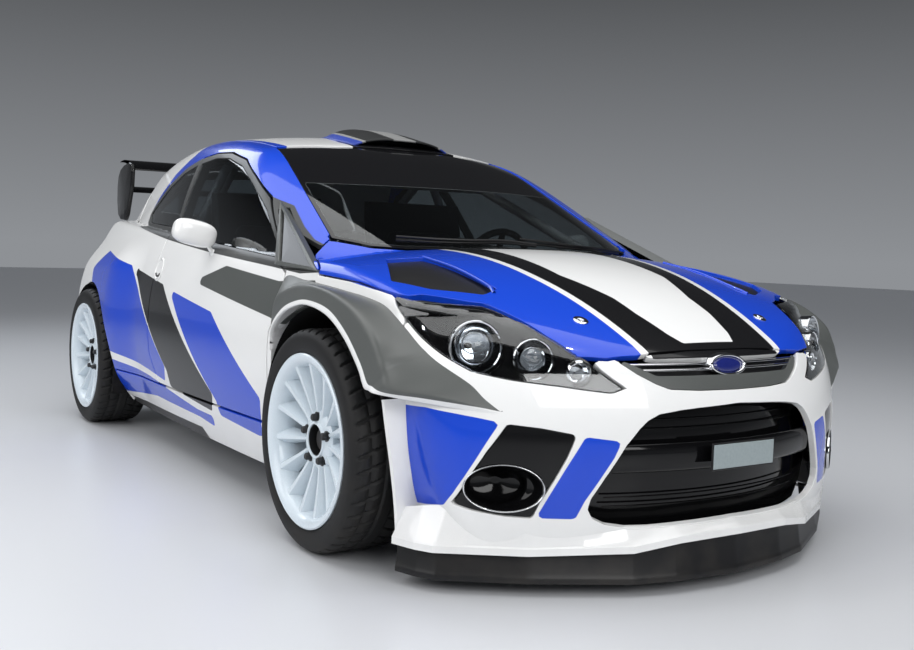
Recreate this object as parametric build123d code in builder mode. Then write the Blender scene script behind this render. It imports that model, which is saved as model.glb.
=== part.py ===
"""Three-door rally car, in millimetres.

Frame: +X forward, +Y to the car's left, +Z up. The origin is on the floor under the middle of the car.
The body is a shell between an outer hull and the same hull drawn in by the wall, split into panels
by prisms. Right-hand pieces are modelled and mirrored across the car's middle plane.
"""
import os
from math import cos, hypot, radians, sin, sqrt

from build123d import *

os.makedirs("parts", exist_ok=True)

# Overall sizes
overall_length = 3963
flare_width = 1820
skin_width = 1730
roof_top = 1350
wheelbase = 2480
front_overhang = 830

# Walls and gaps
side_wall = 50
bonnet_wall = 22
glass_wall = 5
panel_gap = 6
pillar_gap = 16
seat_gap = 0.3

# Wheels
tyre_radius = 320
tyre_width = 235
wheel_center_y = 780
rim_radius = 250
rim_bore = 212
spoke_count = 12
disc_radius = 145
disc_thickness = 28
stub_radius = 30
stub_clearance = 0.5

# Steering
kingpin_y = 740
ball_pin_radius = 10
ball_pin_clearance = 0.5

# Rear wheel arch: radius, centre height and width of the flared band
rear_arch_radius = 410
rear_arch_z = 270
flare_band = 100

# Worked out from the above
half_length = overall_length / 2
front_axle_x = half_length - front_overhang
rear_axle_x = front_axle_x - wheelbase
half_skin = skin_width / 2
half_flare = flare_width / 2

# Hull surfaces: radius in plan and the place along the car where the side is widest
side_plan_radius = 18000
side_widest_x = -100
cabin_plan_radius = 9000
cabin_widest_x = 100
bonnet_crown_radius = 5200
roof_crown_radius = 2900
screen_radius = 2200
rear_screen_radius = 1800
nose_plan_radius = 1100
tail_plan_radius = 1500
bumper_nose_x = half_length - 16
belt_half = 800
cowl_x = 908
sill_bottom = 150
sill_top = 294
sill_inner = 741
shell_bottom = 130

# Middle-line points of the bonnet, windscreen, roof and rear window: (x, z)
bonnet_line = ((985, 885), (1500, 790), (1857, 624))
screen_base = (1020, 878)
screen_top = (222, 1262)
roof_line = (screen_top, (-400, roof_top), (-1420, 1275))
rear_screen_base = (-1700, 1000)


def circle_through(a, b, c):
    """Centre and radius of the circle through three points."""
    d = 2 * (a[0] * (b[1] - c[1]) + b[0] * (c[1] - a[1]) + c[0] * (a[1] - b[1]))
    sa, sb, sc = (p[0] ** 2 + p[1] ** 2 for p in (a, b, c))
    x = (sa * (b[1] - c[1]) + sb * (c[1] - a[1]) + sc * (a[1] - b[1])) / d
    z = (sa * (c[0] - b[0]) + sb * (a[0] - c[0]) + sc * (b[0] - a[0])) / d
    return x, z, hypot(a[0] - x, a[1] - z)


def crowned_drum(points, crown_radius, inset):
    """Solid of revolution across the car through three side-view points, crowned across its width."""
    x, z, radius = circle_through(*points)
    radius -= inset
    reach = 1000
    sag = crown_radius - sqrt(crown_radius ** 2 - reach ** 2)
    with BuildPart() as drum:
        with BuildSketch(Plane.YZ.offset(x)):
            with BuildLine():
                ThreePointArc((-reach, z + radius - sag), (0, z + radius), (reach, z + radius - sag))
                Polyline((reach, z + radius - sag), (reach, z), (-reach, z), (-reach, z + radius - sag))
            make_face()
        revolve(axis=Axis((x, 0, z), (0, 1, 0)))
    return drum.part


def side_drum(side, section, plan_radius, widest_x, inset):
    """Solid of revolution about a far upright axis: the car's side, curved in plan and in section."""
    low, mid, high = section
    axis_y = -side * (plan_radius - mid[0])
    with BuildPart() as drum:
        with BuildSketch(Plane.YZ.offset(widest_x)):
            with BuildLine():
                arc = ThreePointArc(*((side * y, z) for y, z in section))
                Polyline(arc @ 1, (side * high[0], 2000), (axis_y, 2000), (axis_y, -200),
                         (side * low[0], -200), arc @ 0)
            make_face()
            if inset:
                offset(amount=-inset)
        revolve(axis=Axis((widest_x, axis_y, 0), (0, 0, 1)))
    return drum.part


def leaning_cylinder(base, top, radius, inset):
    """Cylinder whose crest is the middle line of a curved screen that leans from base to top."""
    run, rise = top[0] - base[0], top[1] - base[1]
    length = hypot(run, rise)
    outward = (rise / length, -run / length) if run < 0 < rise else (-rise / length, run / length)
    centre = (base[0] - radius * outward[0], 0, base[1] - radius * outward[1])
    with BuildPart() as cylinder:
        with BuildSketch(Plane(origin=centre, z_dir=(run, 0, rise))):
            Circle(radius - inset)
        extrude(amount=4000, both=True)
    return cylinder.part


def lower_hull(inset):
    """Solid body below the windows, drawn in by inset."""
    section = ((775, 130), (half_skin, 480), (belt_half, 860))
    with BuildPart() as over:
        add(crowned_drum(bonnet_line, bonnet_crown_radius, inset))
        with BuildSketch(Plane.XY):
            Rectangle(3000, 2000, align=(Align.MAX, Align.CENTER))
        extrude(amount=2000)
        with BuildSketch(Plane.XY):
            Rectangle(cowl_x - inset, 2000, align=(Align.MIN, Align.CENTER))
        extrude(amount=2000)
    with BuildPart() as hull:
        with BuildSketch(Plane.XZ):
            with BuildLine():
                nose = ThreePointArc((1880, 640), (1935, 545), (bumper_nose_x, 400))
                Polyline(nose @ 1, (bumper_nose_x - 10, 200), (bumper_nose_x - 60, shell_bottom),
                         (-1100, sill_bottom), (-1880, shell_bottom + 130), (-half_length + 20, 330),
                         (-half_length, 480), (-half_length + 25, 600), (-1850, 790), (-1790, 930), (-1735, 985),
                         (cowl_x - 1, 830), (cowl_x, 930), (1500, 880), nose @ 0)
            make_face()
            if inset:
                offset(amount=-inset)
        extrude(amount=1000, both=True)
        with BuildSketch(Plane.XY):
            with BuildLine():
                corner_y = 900
                front_x = bumper_nose_x - nose_plan_radius
                back_x = tail_plan_radius - half_length
                front = ThreePointArc(
                    (front_x + sqrt(nose_plan_radius ** 2 - corner_y ** 2), corner_y),
                    (bumper_nose_x, 0),
                    (front_x + sqrt(nose_plan_radius ** 2 - corner_y ** 2), -corner_y))
                back = ThreePointArc(
                    (back_x - sqrt(tail_plan_radius ** 2 - corner_y ** 2), -corner_y),
                    (-half_length, 0),
                    (back_x - sqrt(tail_plan_radius ** 2 - corner_y ** 2), corner_y))
                Line(front @ 1, back @ 0)
                Line(back @ 1, front @ 0)
            make_face()
            if inset:
                offset(amount=-inset)
        extrude(amount=2000, mode=Mode.INTERSECT)
        for side in (-1, 1):
            add(side_drum(side, section, side_plan_radius, side_widest_x, inset), mode=Mode.INTERSECT)
        add(over.part, mode=Mode.INTERSECT)
    return hull.part


def cabin_hull(inset):
    """Solid cabin above the belt, drawn in by inset."""
    section = ((belt_half, 780), (712, 1040), (572, 1300))
    bottom = 770 - 4 * inset
    with BuildPart() as hull:
        with BuildSketch(Plane.XZ):
            with BuildLine():
                Polyline(screen_top, (screen_base[0] + 30, screen_base[1] - 14),
                         (screen_base[0] + 30, bottom),
                         (-1760, bottom), (-1760, 920), rear_screen_base, roof_line[2], (-1380, 1400),
                         (150, 1400), screen_top)
            make_face()
            if inset:
                offset(amount=-inset)
        extrude(amount=1000, both=True)
        add(crowned_drum(roof_line, roof_crown_radius, inset), mode=Mode.INTERSECT)
        for side in (-1, 1):
            add(side_drum(side, section, cabin_plan_radius, cabin_widest_x, inset), mode=Mode.INTERSECT)
        add(leaning_cylinder(screen_base, screen_top, screen_radius, inset), mode=Mode.INTERSECT)
        add(leaning_cylinder(rear_screen_base, roof_line[2], rear_screen_radius, inset),
            mode=Mode.INTERSECT)
    return hull.part


def grown(points, distance):
    """Corner points of a closed outline whose edges are all moved outwards by distance."""
    count = len(points)
    pairs = [(points[i], points[(i + 1) % count]) for i in range(count)]
    turn = 1 if sum(a[0] * b[1] - b[0] * a[1] for a, b in pairs) > 0 else -1
    moved = []
    for (ax, az), (bx, bz) in pairs:
        length = hypot(bx - ax, bz - az)
        nx, nz = turn * (bz - az) / length, -turn * (bx - ax) / length
        moved.append((ax + nx * distance, az + nz * distance, (bx - ax) / length, (bz - az) / length))
    corners = []
    for (px, pz, ux, uz), (qx, qz, vx, vz) in zip(moved[-1:] + moved[:-1], moved):
        cross = ux * vz - uz * vx
        along = ((qx - px) * vz - (qz - pz) * vx) / cross if abs(cross) > 1e-6 else 0
        corners.append((px + ux * along, pz + uz * along) if abs(cross) > 1e-6 else (qx, qz))
    return corners


def side_prism(points, near=1100, far=350, grow=0):
    """Prism across the car's right side through a side-view outline (x, z), drawn outwards by grow."""
    with BuildPart() as prism:
        with BuildSketch(Plane.XZ.offset(far)):
            with BuildLine():
                Polyline(*grown(points, grow), close=True)
            make_face()
        extrude(amount=near - far)
    return prism.part


def cross_prism(points, front, back, grow=0):
    """Prism along the car through a front-view outline (y, z), from back to front."""
    with BuildPart() as prism:
        with BuildSketch(Plane.YZ.offset(back)):
            with BuildLine():
                Polyline(*grown(points, grow), close=True)
            make_face()
        extrude(amount=front - back)
    return prism.part


def front_prism(points, front, back, grow=0):
    """Prism along the car through a front-view outline that is repeated on the car's left side."""
    whole = list(points) + [(-y, z) for y, z in reversed(points) if y]
    return cross_prism(whole, front, back, grow)


def plan_prism(points, low, high, grow=0):
    """Upright prism through a plan outline (x, y) that is repeated on the car's left side."""
    whole = list(points) + [(x, -y) for x, y in reversed(points) if y]
    with BuildPart() as prism:
        with BuildSketch(Plane.XY.offset(low)):
            with BuildLine():
                Polyline(*grown(whole, grow), close=True)
            make_face()
        extrude(amount=high - low)
    return prism.part


def bar(corner_low, corner_high):
    """Square-edged block between two corners."""
    size = [high - low for low, high in zip(corner_low, corner_high)]
    middle = [(high + low) / 2 for low, high in zip(corner_low, corner_high)]
    with BuildPart() as block:
        with Locations(tuple(middle)):
            Box(*size)
    return block.part


def tube(points, radius, bend):
    """Round bar along straight runs joined by bends."""
    with BuildPart() as bent:
        with BuildLine() as path:
            if len(points) > 2:
                FilletPolyline(*points, radius=bend)
            else:
                Line(*points)
        with BuildSketch(Plane(origin=path.line @ 0, z_dir=path.line % 0)):
            Circle(radius)
        sweep(transition=Transition.ROUND)
    return bent.part


def mirrored(piece):
    """The same piece on the car's left side."""
    return mirror(piece, about=Plane.XZ)


def arch_cutter(axle_x, center_z, radius, inner_y):
    """Round clearance for a wheel on the right side, from inner_y outwards."""
    with BuildPart() as cutter:
        with BuildSketch(Plane.XZ.offset(inner_y)):
            with Locations((axle_x, center_z)):
                Circle(radius)
        extrude(amount=600)
    return cutter.part


def arch_flare(axle_x, center_z, radius, start, sweep_angle):
    """Flared band round a wheel arch, turned about the wheel's axis."""
    band = ((radius, -700), (radius, -half_flare + 8), (radius + 10, -half_flare),
            (radius + 0.45 * flare_band, -half_flare + 12), (radius + flare_band, -815),
            (radius + flare_band, -700))
    with BuildPart() as flare:
        with BuildSketch(Plane.XY):
            with BuildLine():
                Polyline(*[(axle_x + r, y) for r, y in band], close=True)
            make_face()
        revolve(axis=Axis((axle_x, 0, 0), (0, -1, 0)), revolution_arc=sweep_angle)
    turned = flare.part.rotate(Axis((axle_x, 0, 0), (0, -1, 0)), start)
    return Pos(0, 0, center_z) * turned


# Front wheel arch and its box flare, right side, measured from the front axle: (x, z) and (x, y)
front_arch_outline = ((-355, 0), (-355, 545), (-333, 605), (-237, 660), (-122, 690), (-2, 703), (148, 684),
                      (258, 632), (338, 564), (364, 500), (364, 0))
front_flare_side = ((-355, 545), (-333, 605), (-237, 660), (-122, 690), (-2, 703), (148, 684), (258, 632),
                    (338, 564), (374, 517), (398, 503), (470, 487), (538, 475), (598, 465), (564, 520),
                    (523, 558), (467, 592), (403, 641), (342, 685), (212, 736), (64, 762), (-152, 759),
                    (-326, 700), (-355, 640))
front_flare_plan = ((-355, 0), (-355, -850), (-152, -875), (64, -896), (268, -half_flare + 1),
                    (388, -half_flare), (448, -884), (538, -722), (600, -640), (600, 0))
wing_front_x = 1500

# Outlines in side view, right side: (x, z)
door_front_low = 765
door_front_high = 820
door_sill = sill_top + panel_gap
door_top = ((420, 1032), (40, 1193), (-560, 1238))
door_outline = (
    (door_front_low, door_sill), (door_front_low, 600), (door_front_high, 665), (door_front_high, 775),
    (748, 806), door_top[0], (230, 1118), door_top[1], (-180, 1236), (-370, 1246), door_top[2],
    (-425, 905), (-425, 420), (-350, door_sill))
door_window = (
    (690, 838), (408, 1008), (225, 1092), (45, 1166), (-170, 1210), (-350, 1220), (-528, 1208),
    (-410, 915))
quarter_light = ((925, 808), (768, 824), (450, 1022), (520, 992), (760, 880))
quarter_light_far = 690
rear_quarter_window = ((-455, 935), (-585, 1205), (-760, 1178), (-930, 1110), (-1075, 1005),
                       (-1010, 962))

# Plan outlines seen from above, right half: (x, y), closed along the middle line
bonnet_plan = (
    (1032, 0), (1010, -250), (945, -440), (815, -640), (790, -690), (800, -830), (1462, -900),
    (1462, -760), (1612, -612), (1776, -566), (1806, -360), (1857, 0))
bonnet_skirt = ((700, 808), (1000, 790), (1250, 775), (1480, 742), (1620, 715), (1790, 640), (1900, 560))
bonnet_vent_outline = ((1108, -612), (1137, -505), (1490, -481), (1513, -538), (1437, -650), (1340, -690))
vent_slats = 6
vent_slat_pitch = 56
vent_slat_width = 14
screen_plan = ((1014, 0), (996, -250), (930, -440), (800, -628), (60, -520), (150, -300), (196, 0))
roof_plan = ((182, 0), (136, -306), (40, -516), (-500, -500), (-1100, -470), (-1408, -440), (-1408, 0))
roof_underside = 1080

# Front-view and rear-view outlines, right half: (y, z), closed along the middle line
upper_grille_outline = ((0, 536), (-222, 538), (-300, 584), (-298, 600), (0, 606))
lower_grille_outline = ((0, 178), (-290, 182), (-395, 232), (-330, 470), (0, 488))
fog_pod_outline = ((-569, 209), (-723, 238), (-622, 443), (-479, 422))
tailgate_outline = ((0, 1400), (-430, 1400), (-540, 1130), (-610, 985), (-640, 620), (0, 600))
rear_window_outline = ((0, 1226), (-320, 1204), (-460, 1036), (0, 1016))
headlamp_outline = ((1468, 752), (1615, 728), (1780, 668), (1845, 628), (1915, 545), (1790, 556),
                    (1665, 604), (1590, 650), (1468, 715))
tailgate_front_x = -1414

# Blocks that the closed panels lie against: door hinge and catch, bonnet hinge, tailgate hinges
hinge_block_outer = 838
catch_block = ((-455, -850, 690), (-425 - seat_gap, -840, 715))
bonnet_hinge_block = ((765, -690, 790), (812, -665, 818))
tailgate_hinge_y = 330
tailgate_hinge_z = (1238, 1258)


def bonnet_block(grow):
    """Space that the bonnet takes out of the hull, drawn outwards by grow."""
    with BuildPart() as block:
        add(plan_prism(bonnet_plan, 400, 1000, grow))
        with BuildSketch(Plane.XZ):
            with BuildLine():
                Polyline(*[(x, z - grow) for x, z in bonnet_skirt], (1900, 1100), (700, 1100), close=True)
            make_face()
        extrude(amount=1000, both=True, mode=Mode.INTERSECT)
    return block.part


def save(piece, name):
    """Label a finished piece and write it."""
    piece.part.label = name
    export_step(piece.part, f"parts/{name}.step")


def save_pair(piece, name):
    """Write a right-hand piece and its mirror image."""
    save(piece, name + "_right")
    with BuildPart() as twin:
        add(mirrored(piece.part))
    save(twin, name + "_left")


def add_pair_of(piece):
    """A right-hand shape together with its mirror image."""
    return piece + mirrored(piece)


outer = lower_hull(0) + cabin_hull(0)
inner_hull = lower_hull(side_wall)
wall_shell = outer - inner_hull - cabin_hull(side_wall)
thin_shell = outer - lower_hull(bonnet_wall) - cabin_hull(bonnet_wall)
side_zone_outline = ((-1100, 0), (-752, 0), (-752, 270), (-690, 560), (-300, 720), (-300, 1500),
                     (-1100, 1500))
side_zone = cross_prism(side_zone_outline, 2100, -2100)
right_wall = wall_shell & side_zone
front_arch = side_prism([(front_axle_x + x, z) for x, z in front_arch_outline], far=520)
flare_side = side_prism([(front_axle_x + x, z) for x, z in front_flare_side], far=620)
flare_plan = plan_prism([(front_axle_x + x, y) for x, y in front_flare_plan], 400, 800)
front_flare = (flare_side & flare_plan) - inner_hull
rear_arch = arch_cutter(rear_axle_x, rear_arch_z, rear_arch_radius, 600)

# Space that the door leaves in the body side, wider behind the leaning pillar
with BuildPart() as door_opening:
    add(side_prism(door_outline, grow=panel_gap))
    add(side_prism(((-560, 1238 + panel_gap), (-560 - pillar_gap, 1238 + panel_gap),
                    (-425 - panel_gap, 905), (-400, 905))))

with BuildPart() as bonnet:
    add(thin_shell)
    add(bonnet_block(0), mode=Mode.INTERSECT)
    with BuildPart(mode=Mode.PRIVATE) as bonnet_vent:
        with BuildSketch(Plane.XY.offset(650)):
            with BuildLine():
                Polyline(*bonnet_vent_outline, close=True)
            make_face()
        extrude(amount=300)
        for slat in range(vent_slats):
            slat_x = bonnet_vent_outline[0][0] + vent_slat_pitch * (slat + 1)
            add(bar((slat_x, -800, 600), (slat_x + vent_slat_width, -400, 1000)), mode=Mode.SUBTRACT)
    add(add_pair_of(bonnet_vent.part), mode=Mode.SUBTRACT)
save(bonnet, "bonnet")

with BuildPart() as roof_panel:
    add(thin_shell)
    add(plan_prism(roof_plan, roof_underside, 1450), mode=Mode.INTERSECT)
    for hinge_y in (-tailgate_hinge_y, tailgate_hinge_y):
        add(bar((tailgate_front_x + seat_gap, hinge_y - 30, tailgate_hinge_z[0]),
                (tailgate_front_x + 40, hinge_y + 30, tailgate_hinge_z[1])))
save(roof_panel, "roof_panel")

with BuildPart() as tailgate:
    add(thin_shell)
    add(front_prism(tailgate_outline, tailgate_front_x, -2100), mode=Mode.INTERSECT)
    add(front_prism(rear_window_outline, tailgate_front_x, -1800), mode=Mode.SUBTRACT)
save(tailgate, "tailgate")

with BuildPart() as rear_window:
    add(cabin_hull(4))
    add(cabin_hull(4 + glass_wall), mode=Mode.SUBTRACT)
    add(front_prism(rear_window_outline, tailgate_front_x, -1800, -seat_gap), mode=Mode.INTERSECT)
save(rear_window, "rear_window")

headlamp_space = side_prism(headlamp_outline, far=330, grow=seat_gap)
wing_outline = ((door_front_low + seat_gap, sill_bottom), (door_front_low + seat_gap, sill_top + seat_gap),
                (740, sill_top + seat_gap), (740, 800), (wing_front_x, 800), (wing_front_x, sill_bottom))
with BuildPart() as front_wing:
    add(right_wall)
    add(front_flare)
    add(side_prism(wing_outline), mode=Mode.INTERSECT)
    add(front_arch, mode=Mode.SUBTRACT)
    add(door_opening.part, mode=Mode.SUBTRACT)
    add(bonnet_block(panel_gap), mode=Mode.SUBTRACT)
    add(headlamp_space, mode=Mode.SUBTRACT)
    add(bar((door_front_high + seat_gap, -hinge_block_outer, 690),
            (door_front_high + 20, -hinge_block_outer + 23, 740)))
save_pair(front_wing, "front_wing")

tail_top = 594
front_pane = cabin_hull(4) - cabin_hull(4 + glass_wall)
tail_lamp_space = bar((-2100, -1000, 706), (-1694, -652, 856))
with BuildPart() as body_side:
    add(right_wall)
    add(arch_flare(rear_axle_x, rear_arch_z, rear_arch_radius, 175, -175), mode=Mode.ADD)
    add(rear_arch, mode=Mode.SUBTRACT)
    add(bar((-1100, -1100, 100), (-905, -300, 250)), mode=Mode.SUBTRACT)
    add(door_opening.part, mode=Mode.SUBTRACT)
    add(side_prism(wing_outline, grow=seat_gap), mode=Mode.SUBTRACT)
    add(bar((-905 - seat_gap, -1100, 0), (1990, -300, sill_top + seat_gap)), mode=Mode.SUBTRACT)
    add(bar((1400, -1100, 0), (1990, -200, 1500)), mode=Mode.SUBTRACT)
    add(bonnet_block(panel_gap), mode=Mode.SUBTRACT)
    add(plan_prism(screen_plan, 830, 1400, seat_gap), mode=Mode.SUBTRACT)
    add(plan_prism(roof_plan, roof_underside - 60, 1450, seat_gap), mode=Mode.SUBTRACT)
    add(front_prism(tailgate_outline, tailgate_front_x + panel_gap, -2100, panel_gap),
        mode=Mode.SUBTRACT)
    add(bar((-2100, -1100, 0), (-1640, -200, tail_top + seat_gap)), mode=Mode.SUBTRACT)
    add(tail_lamp_space, mode=Mode.SUBTRACT)
    add(side_prism(rear_quarter_window), mode=Mode.SUBTRACT)
    add(side_prism(quarter_light, far=quarter_light_far), mode=Mode.SUBTRACT)
    add(bar(*catch_block))
    add(bar(*bonnet_hinge_block) - bonnet_block(seat_gap))
save_pair(body_side, "body_side")

jack_socket = (537, 182)
jack_socket_radius = 14
jack_socket_depth_y = 747
jack_mouth_radius = 22
jack_mouth_y = 779
with BuildPart() as sill:
    add(outer)
    add(bar((-905, -1000, sill_bottom - 15), (door_front_low, -sill_inner, sill_top)),
        mode=Mode.INTERSECT)
    add(rear_arch, mode=Mode.SUBTRACT)
    with BuildSketch(Plane.XZ.offset(jack_socket_depth_y)):
        with Locations(jack_socket):
            Circle(jack_socket_radius)
    extrude(amount=100, mode=Mode.SUBTRACT)
    with BuildSketch(Plane.XZ.offset(jack_mouth_y)):
        with Locations(jack_socket):
            Circle(jack_mouth_radius)
    extrude(amount=100, mode=Mode.SUBTRACT)
with BuildPart() as sills:
    add(add_pair_of(sill.part))
save(sills, "sills")

with BuildPart() as fixed_windows:
    add(front_pane)
    with BuildPart(mode=Mode.PRIVATE) as panes:
        add(plan_prism(screen_plan, 830, 1400, -seat_gap))
    add(panes.part, mode=Mode.INTERSECT)
    for outline, far in ((rear_quarter_window, 350), (quarter_light, quarter_light_far)):
        pane = front_pane & side_prism(outline, far=far, grow=-seat_gap)
        add(pane)
        add(mirrored(pane))
    add(bonnet_block(panel_gap), mode=Mode.SUBTRACT)
save(fixed_windows, "fixed_windows")

# Nose and tail: the lip shelf stands out from the bumper above the splitter, seen from above: (x, y)
grille_back = 1600
lip_plan = ((wing_front_x - 100, -805), (1700, -800), (1790, -566), (1920, -330), (1955, -200),
            (half_length - 6, 0))
lip_bottom = 110
lip_edge = 22
lip_slope_height = 55
lip_slope = 30
lip_ring = 90
with BuildPart() as lip:
    lip_slope_z = lip_bottom + lip_edge
    for low, height, slope in ((lip_bottom, lip_edge, 0), (lip_slope_z, lip_slope_height, lip_slope)):
        with BuildSketch(Plane.XY.offset(low)):
            with BuildLine():
                Polyline(*lip_plan, *[(x, -y) for x, y in reversed(lip_plan[:-1])], close=True)
            make_face()
        extrude(amount=height, taper=slope)
with BuildPart() as front_bumper:
    add(wall_shell)
    add(lip.part - inner_hull)
    add(plan_prism(lip_plan, 0, shell_bottom + side_wall, -lip_ring), mode=Mode.SUBTRACT)
    add(add_pair_of(front_flare))
    add(bar((wing_front_x + seat_gap, -1000, 0), (2100, 1000, 800)), mode=Mode.INTERSECT)
    add(front_arch, mode=Mode.SUBTRACT)
    add(mirrored(front_arch), mode=Mode.SUBTRACT)
    add(headlamp_space, mode=Mode.SUBTRACT)
    add(mirrored(headlamp_space), mode=Mode.SUBTRACT)
    add(bonnet_block(panel_gap), mode=Mode.SUBTRACT)
    add(front_prism(upper_grille_outline, 2100, grille_back), mode=Mode.SUBTRACT)
    add(front_prism(lower_grille_outline, 2100, grille_back), mode=Mode.SUBTRACT)
    fog_space = cross_prism(fog_pod_outline, 2100, grille_back)
    add(fog_space, mode=Mode.SUBTRACT)
    add(mirrored(fog_space), mode=Mode.SUBTRACT)
save(front_bumper, "front_bumper")

# Rows of slots in the grilles: middle of the lowest one, slot height, half width, count
grille_slots = ((550, 8, 215, 3), (206, 12, 270, 11))
with BuildPart() as grilles:
    add(lower_hull(14))
    add(lower_hull(26), mode=Mode.SUBTRACT)
    with BuildPart(mode=Mode.PRIVATE) as mesh_openings:
        add(front_prism(upper_grille_outline, 2100, grille_back, -seat_gap))
        add(front_prism(lower_grille_outline, 2100, grille_back, -seat_gap))
    add(mesh_openings.part, mode=Mode.INTERSECT)
    add(bonnet_block(panel_gap), mode=Mode.SUBTRACT)
    for low, height, half_width, rows in grille_slots:
        for row in range(rows):
            slot_z = low + row * height * 2
            for slot_y in (-half_width / 2 - 5, half_width / 2 + 5):
                with Locations((1900, slot_y, slot_z)):
                    Box(400, half_width, height, mode=Mode.SUBTRACT)
save(grilles, "grilles")

intake_center = (1763, -630, 283)
intake_normal = (0.816, -0.578, 0)
intake_radius = 54
intake_depth = 34
with BuildPart() as fog_pods:
    add(lower_hull(12))
    add(lower_hull(52), mode=Mode.SUBTRACT)
    with BuildPart(mode=Mode.PRIVATE) as pod_spaces:
        add(add_pair_of(cross_prism(fog_pod_outline, 2100, grille_back, -seat_gap)))
    add(pod_spaces.part, mode=Mode.INTERSECT)
    with BuildPart(mode=Mode.PRIVATE) as intake:
        with BuildSketch(Plane(origin=intake_center, z_dir=intake_normal).offset(-intake_depth)):
            Circle(intake_radius)
        extrude(amount=2 * intake_depth)
    add(add_pair_of(intake.part), mode=Mode.SUBTRACT)
save(fog_pods, "fog_pods")

with BuildPart() as headlamps:
    add(outer)
    add(lower_hull(110), mode=Mode.SUBTRACT)
    with BuildPart(mode=Mode.PRIVATE) as lamp_spaces:
        add(add_pair_of(side_prism(headlamp_outline, far=330)))
    add(lamp_spaces.part, mode=Mode.INTERSECT)
    add(bonnet_block(panel_gap), mode=Mode.SUBTRACT)
save(headlamps, "headlamps")

splitter_z = 34
splitter_thickness = 14
splitter_plan = ((1560, 0), (1560, -803), (1705, -803), (1796, -568), (1922, -331), (1957, -200),
                 (half_length, 0))
skirt_set_back = 14
skirt_thickness = 20
with BuildPart() as splitter:
    add(plan_prism(splitter_plan, splitter_z, lip_bottom - seat_gap, -skirt_set_back))
    add(plan_prism(splitter_plan, 0, 200, -skirt_set_back - skirt_thickness), mode=Mode.SUBTRACT)
    add(bar((1500, -900, 0), (1600, 900, 200)), mode=Mode.SUBTRACT)
    add(plan_prism(splitter_plan, splitter_z, splitter_z + splitter_thickness))
save(splitter, "splitter")

tail_pipe = (250, 292)
tail_pipe_radius = 36
with BuildPart() as rear_bumper:
    add(wall_shell)
    add(bar((-2100, -1000, 0), (-1640 - seat_gap, 1000, tail_top - panel_gap)), mode=Mode.INTERSECT)
    add(rear_arch, mode=Mode.SUBTRACT)
    add(mirrored(rear_arch), mode=Mode.SUBTRACT)
    add(bar((-1905, -690, 200), (-1600, 690, 322)), mode=Mode.SUBTRACT)
    with BuildSketch(Plane.YZ.offset(-2100)):
        with Locations(tail_pipe):
            Circle(tail_pipe_radius + 10)
    extrude(amount=500, mode=Mode.SUBTRACT)
save(rear_bumper, "rear_bumper")

# Doors
with BuildPart() as door:
    add(right_wall)
    add(side_prism(door_outline), mode=Mode.INTERSECT)
    add(side_prism(door_window), mode=Mode.SUBTRACT)
save_pair(door, "door")

with BuildPart() as door_glass:
    add(front_pane)
    add(side_prism(door_window, grow=-seat_gap), mode=Mode.INTERSECT)
save_pair(door_glass, "door_glass")

mirror_center = (165, -888, 914)
with BuildPart() as door_mirror:
    with Locations(mirror_center):
        Box(84, 156, 112)
    fillet(door_mirror.edges().filter_by(Axis.Y), radius=34)
    with BuildSketch(Plane(origin=(170, -838, 880), z_dir=(0, 0.75, -1))):
        Rectangle(34, 16)
    extrude(amount=70)
    add(outer, mode=Mode.SUBTRACT)
save_pair(door_mirror, "mirror")

# Roof scoop, rear wing and tail lamps
scoop_half = 220
scoop_wall = 14
with BuildPart() as roof_scoop:
    with BuildSketch(Plane.XZ.offset(-scoop_half)):
        with BuildLine():
            Polyline((140, 1200), (132, 1312), (60, 1342), (-60, 1366), (-200, 1375), (-340, 1371),
                     (-470, 1352), (-490, 1200), close=True)
        make_face()
    extrude(amount=2 * scoop_half)
    add(crowned_drum(roof_line, roof_crown_radius, -seat_gap), mode=Mode.SUBTRACT)
    with BuildSketch(Plane.XZ.offset(scoop_wall - scoop_half)):
        with BuildLine():
            Polyline((200, 1100), (200, 1298), (132, 1298), (58, 1328), (-60, 1352), (-60, 1100),
                     close=True)
        make_face()
    extrude(amount=2 * (scoop_half - scoop_wall), mode=Mode.SUBTRACT)
save(roof_scoop, "roof_scoop")

wing_half = 600
plate_thickness = 12
blade_sag = 22
with BuildPart() as rear_wing:
    for plate_y in (-wing_half, wing_half - plate_thickness):
        with BuildSketch(Plane.XZ.offset(-plate_y)):
            with BuildLine():
                Polyline((-1590, 1285), (-1855, 1310), (-1868, 1190), (-1800, 1000), (-1720, 975),
                         (-1610, 1120), close=True)
            make_face()
        extrude(amount=-plate_thickness)
    for low, high, thickness in (((-1600, 1262), (-1850, 1300), 22), ((-1640, 1120), (-1840, 1150), 16)):
        with BuildSketch(Plane.XZ.offset(-wing_half + 2)):
            with BuildLine():
                middle_x = (low[0] + high[0]) / 2
                middle_z = high[1] - blade_sag
                Polyline(low, (middle_x, middle_z), high, (middle_x, middle_z - thickness), close=True)
            make_face()
        extrude(amount=2 * wing_half - 4)
    for strut_y in (-300, 300):
        with BuildSketch(Plane.XZ.offset(-strut_y)):
            with BuildLine():
                Polyline((-1600, 1266), (-1640, 1270), (-1760, 1130), (-1700, 1002), (-1560, 1139),
                         close=True)
            make_face()
        extrude(amount=10, both=True)
    add(outer, mode=Mode.SUBTRACT)
save(rear_wing, "rear_wing")

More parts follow.
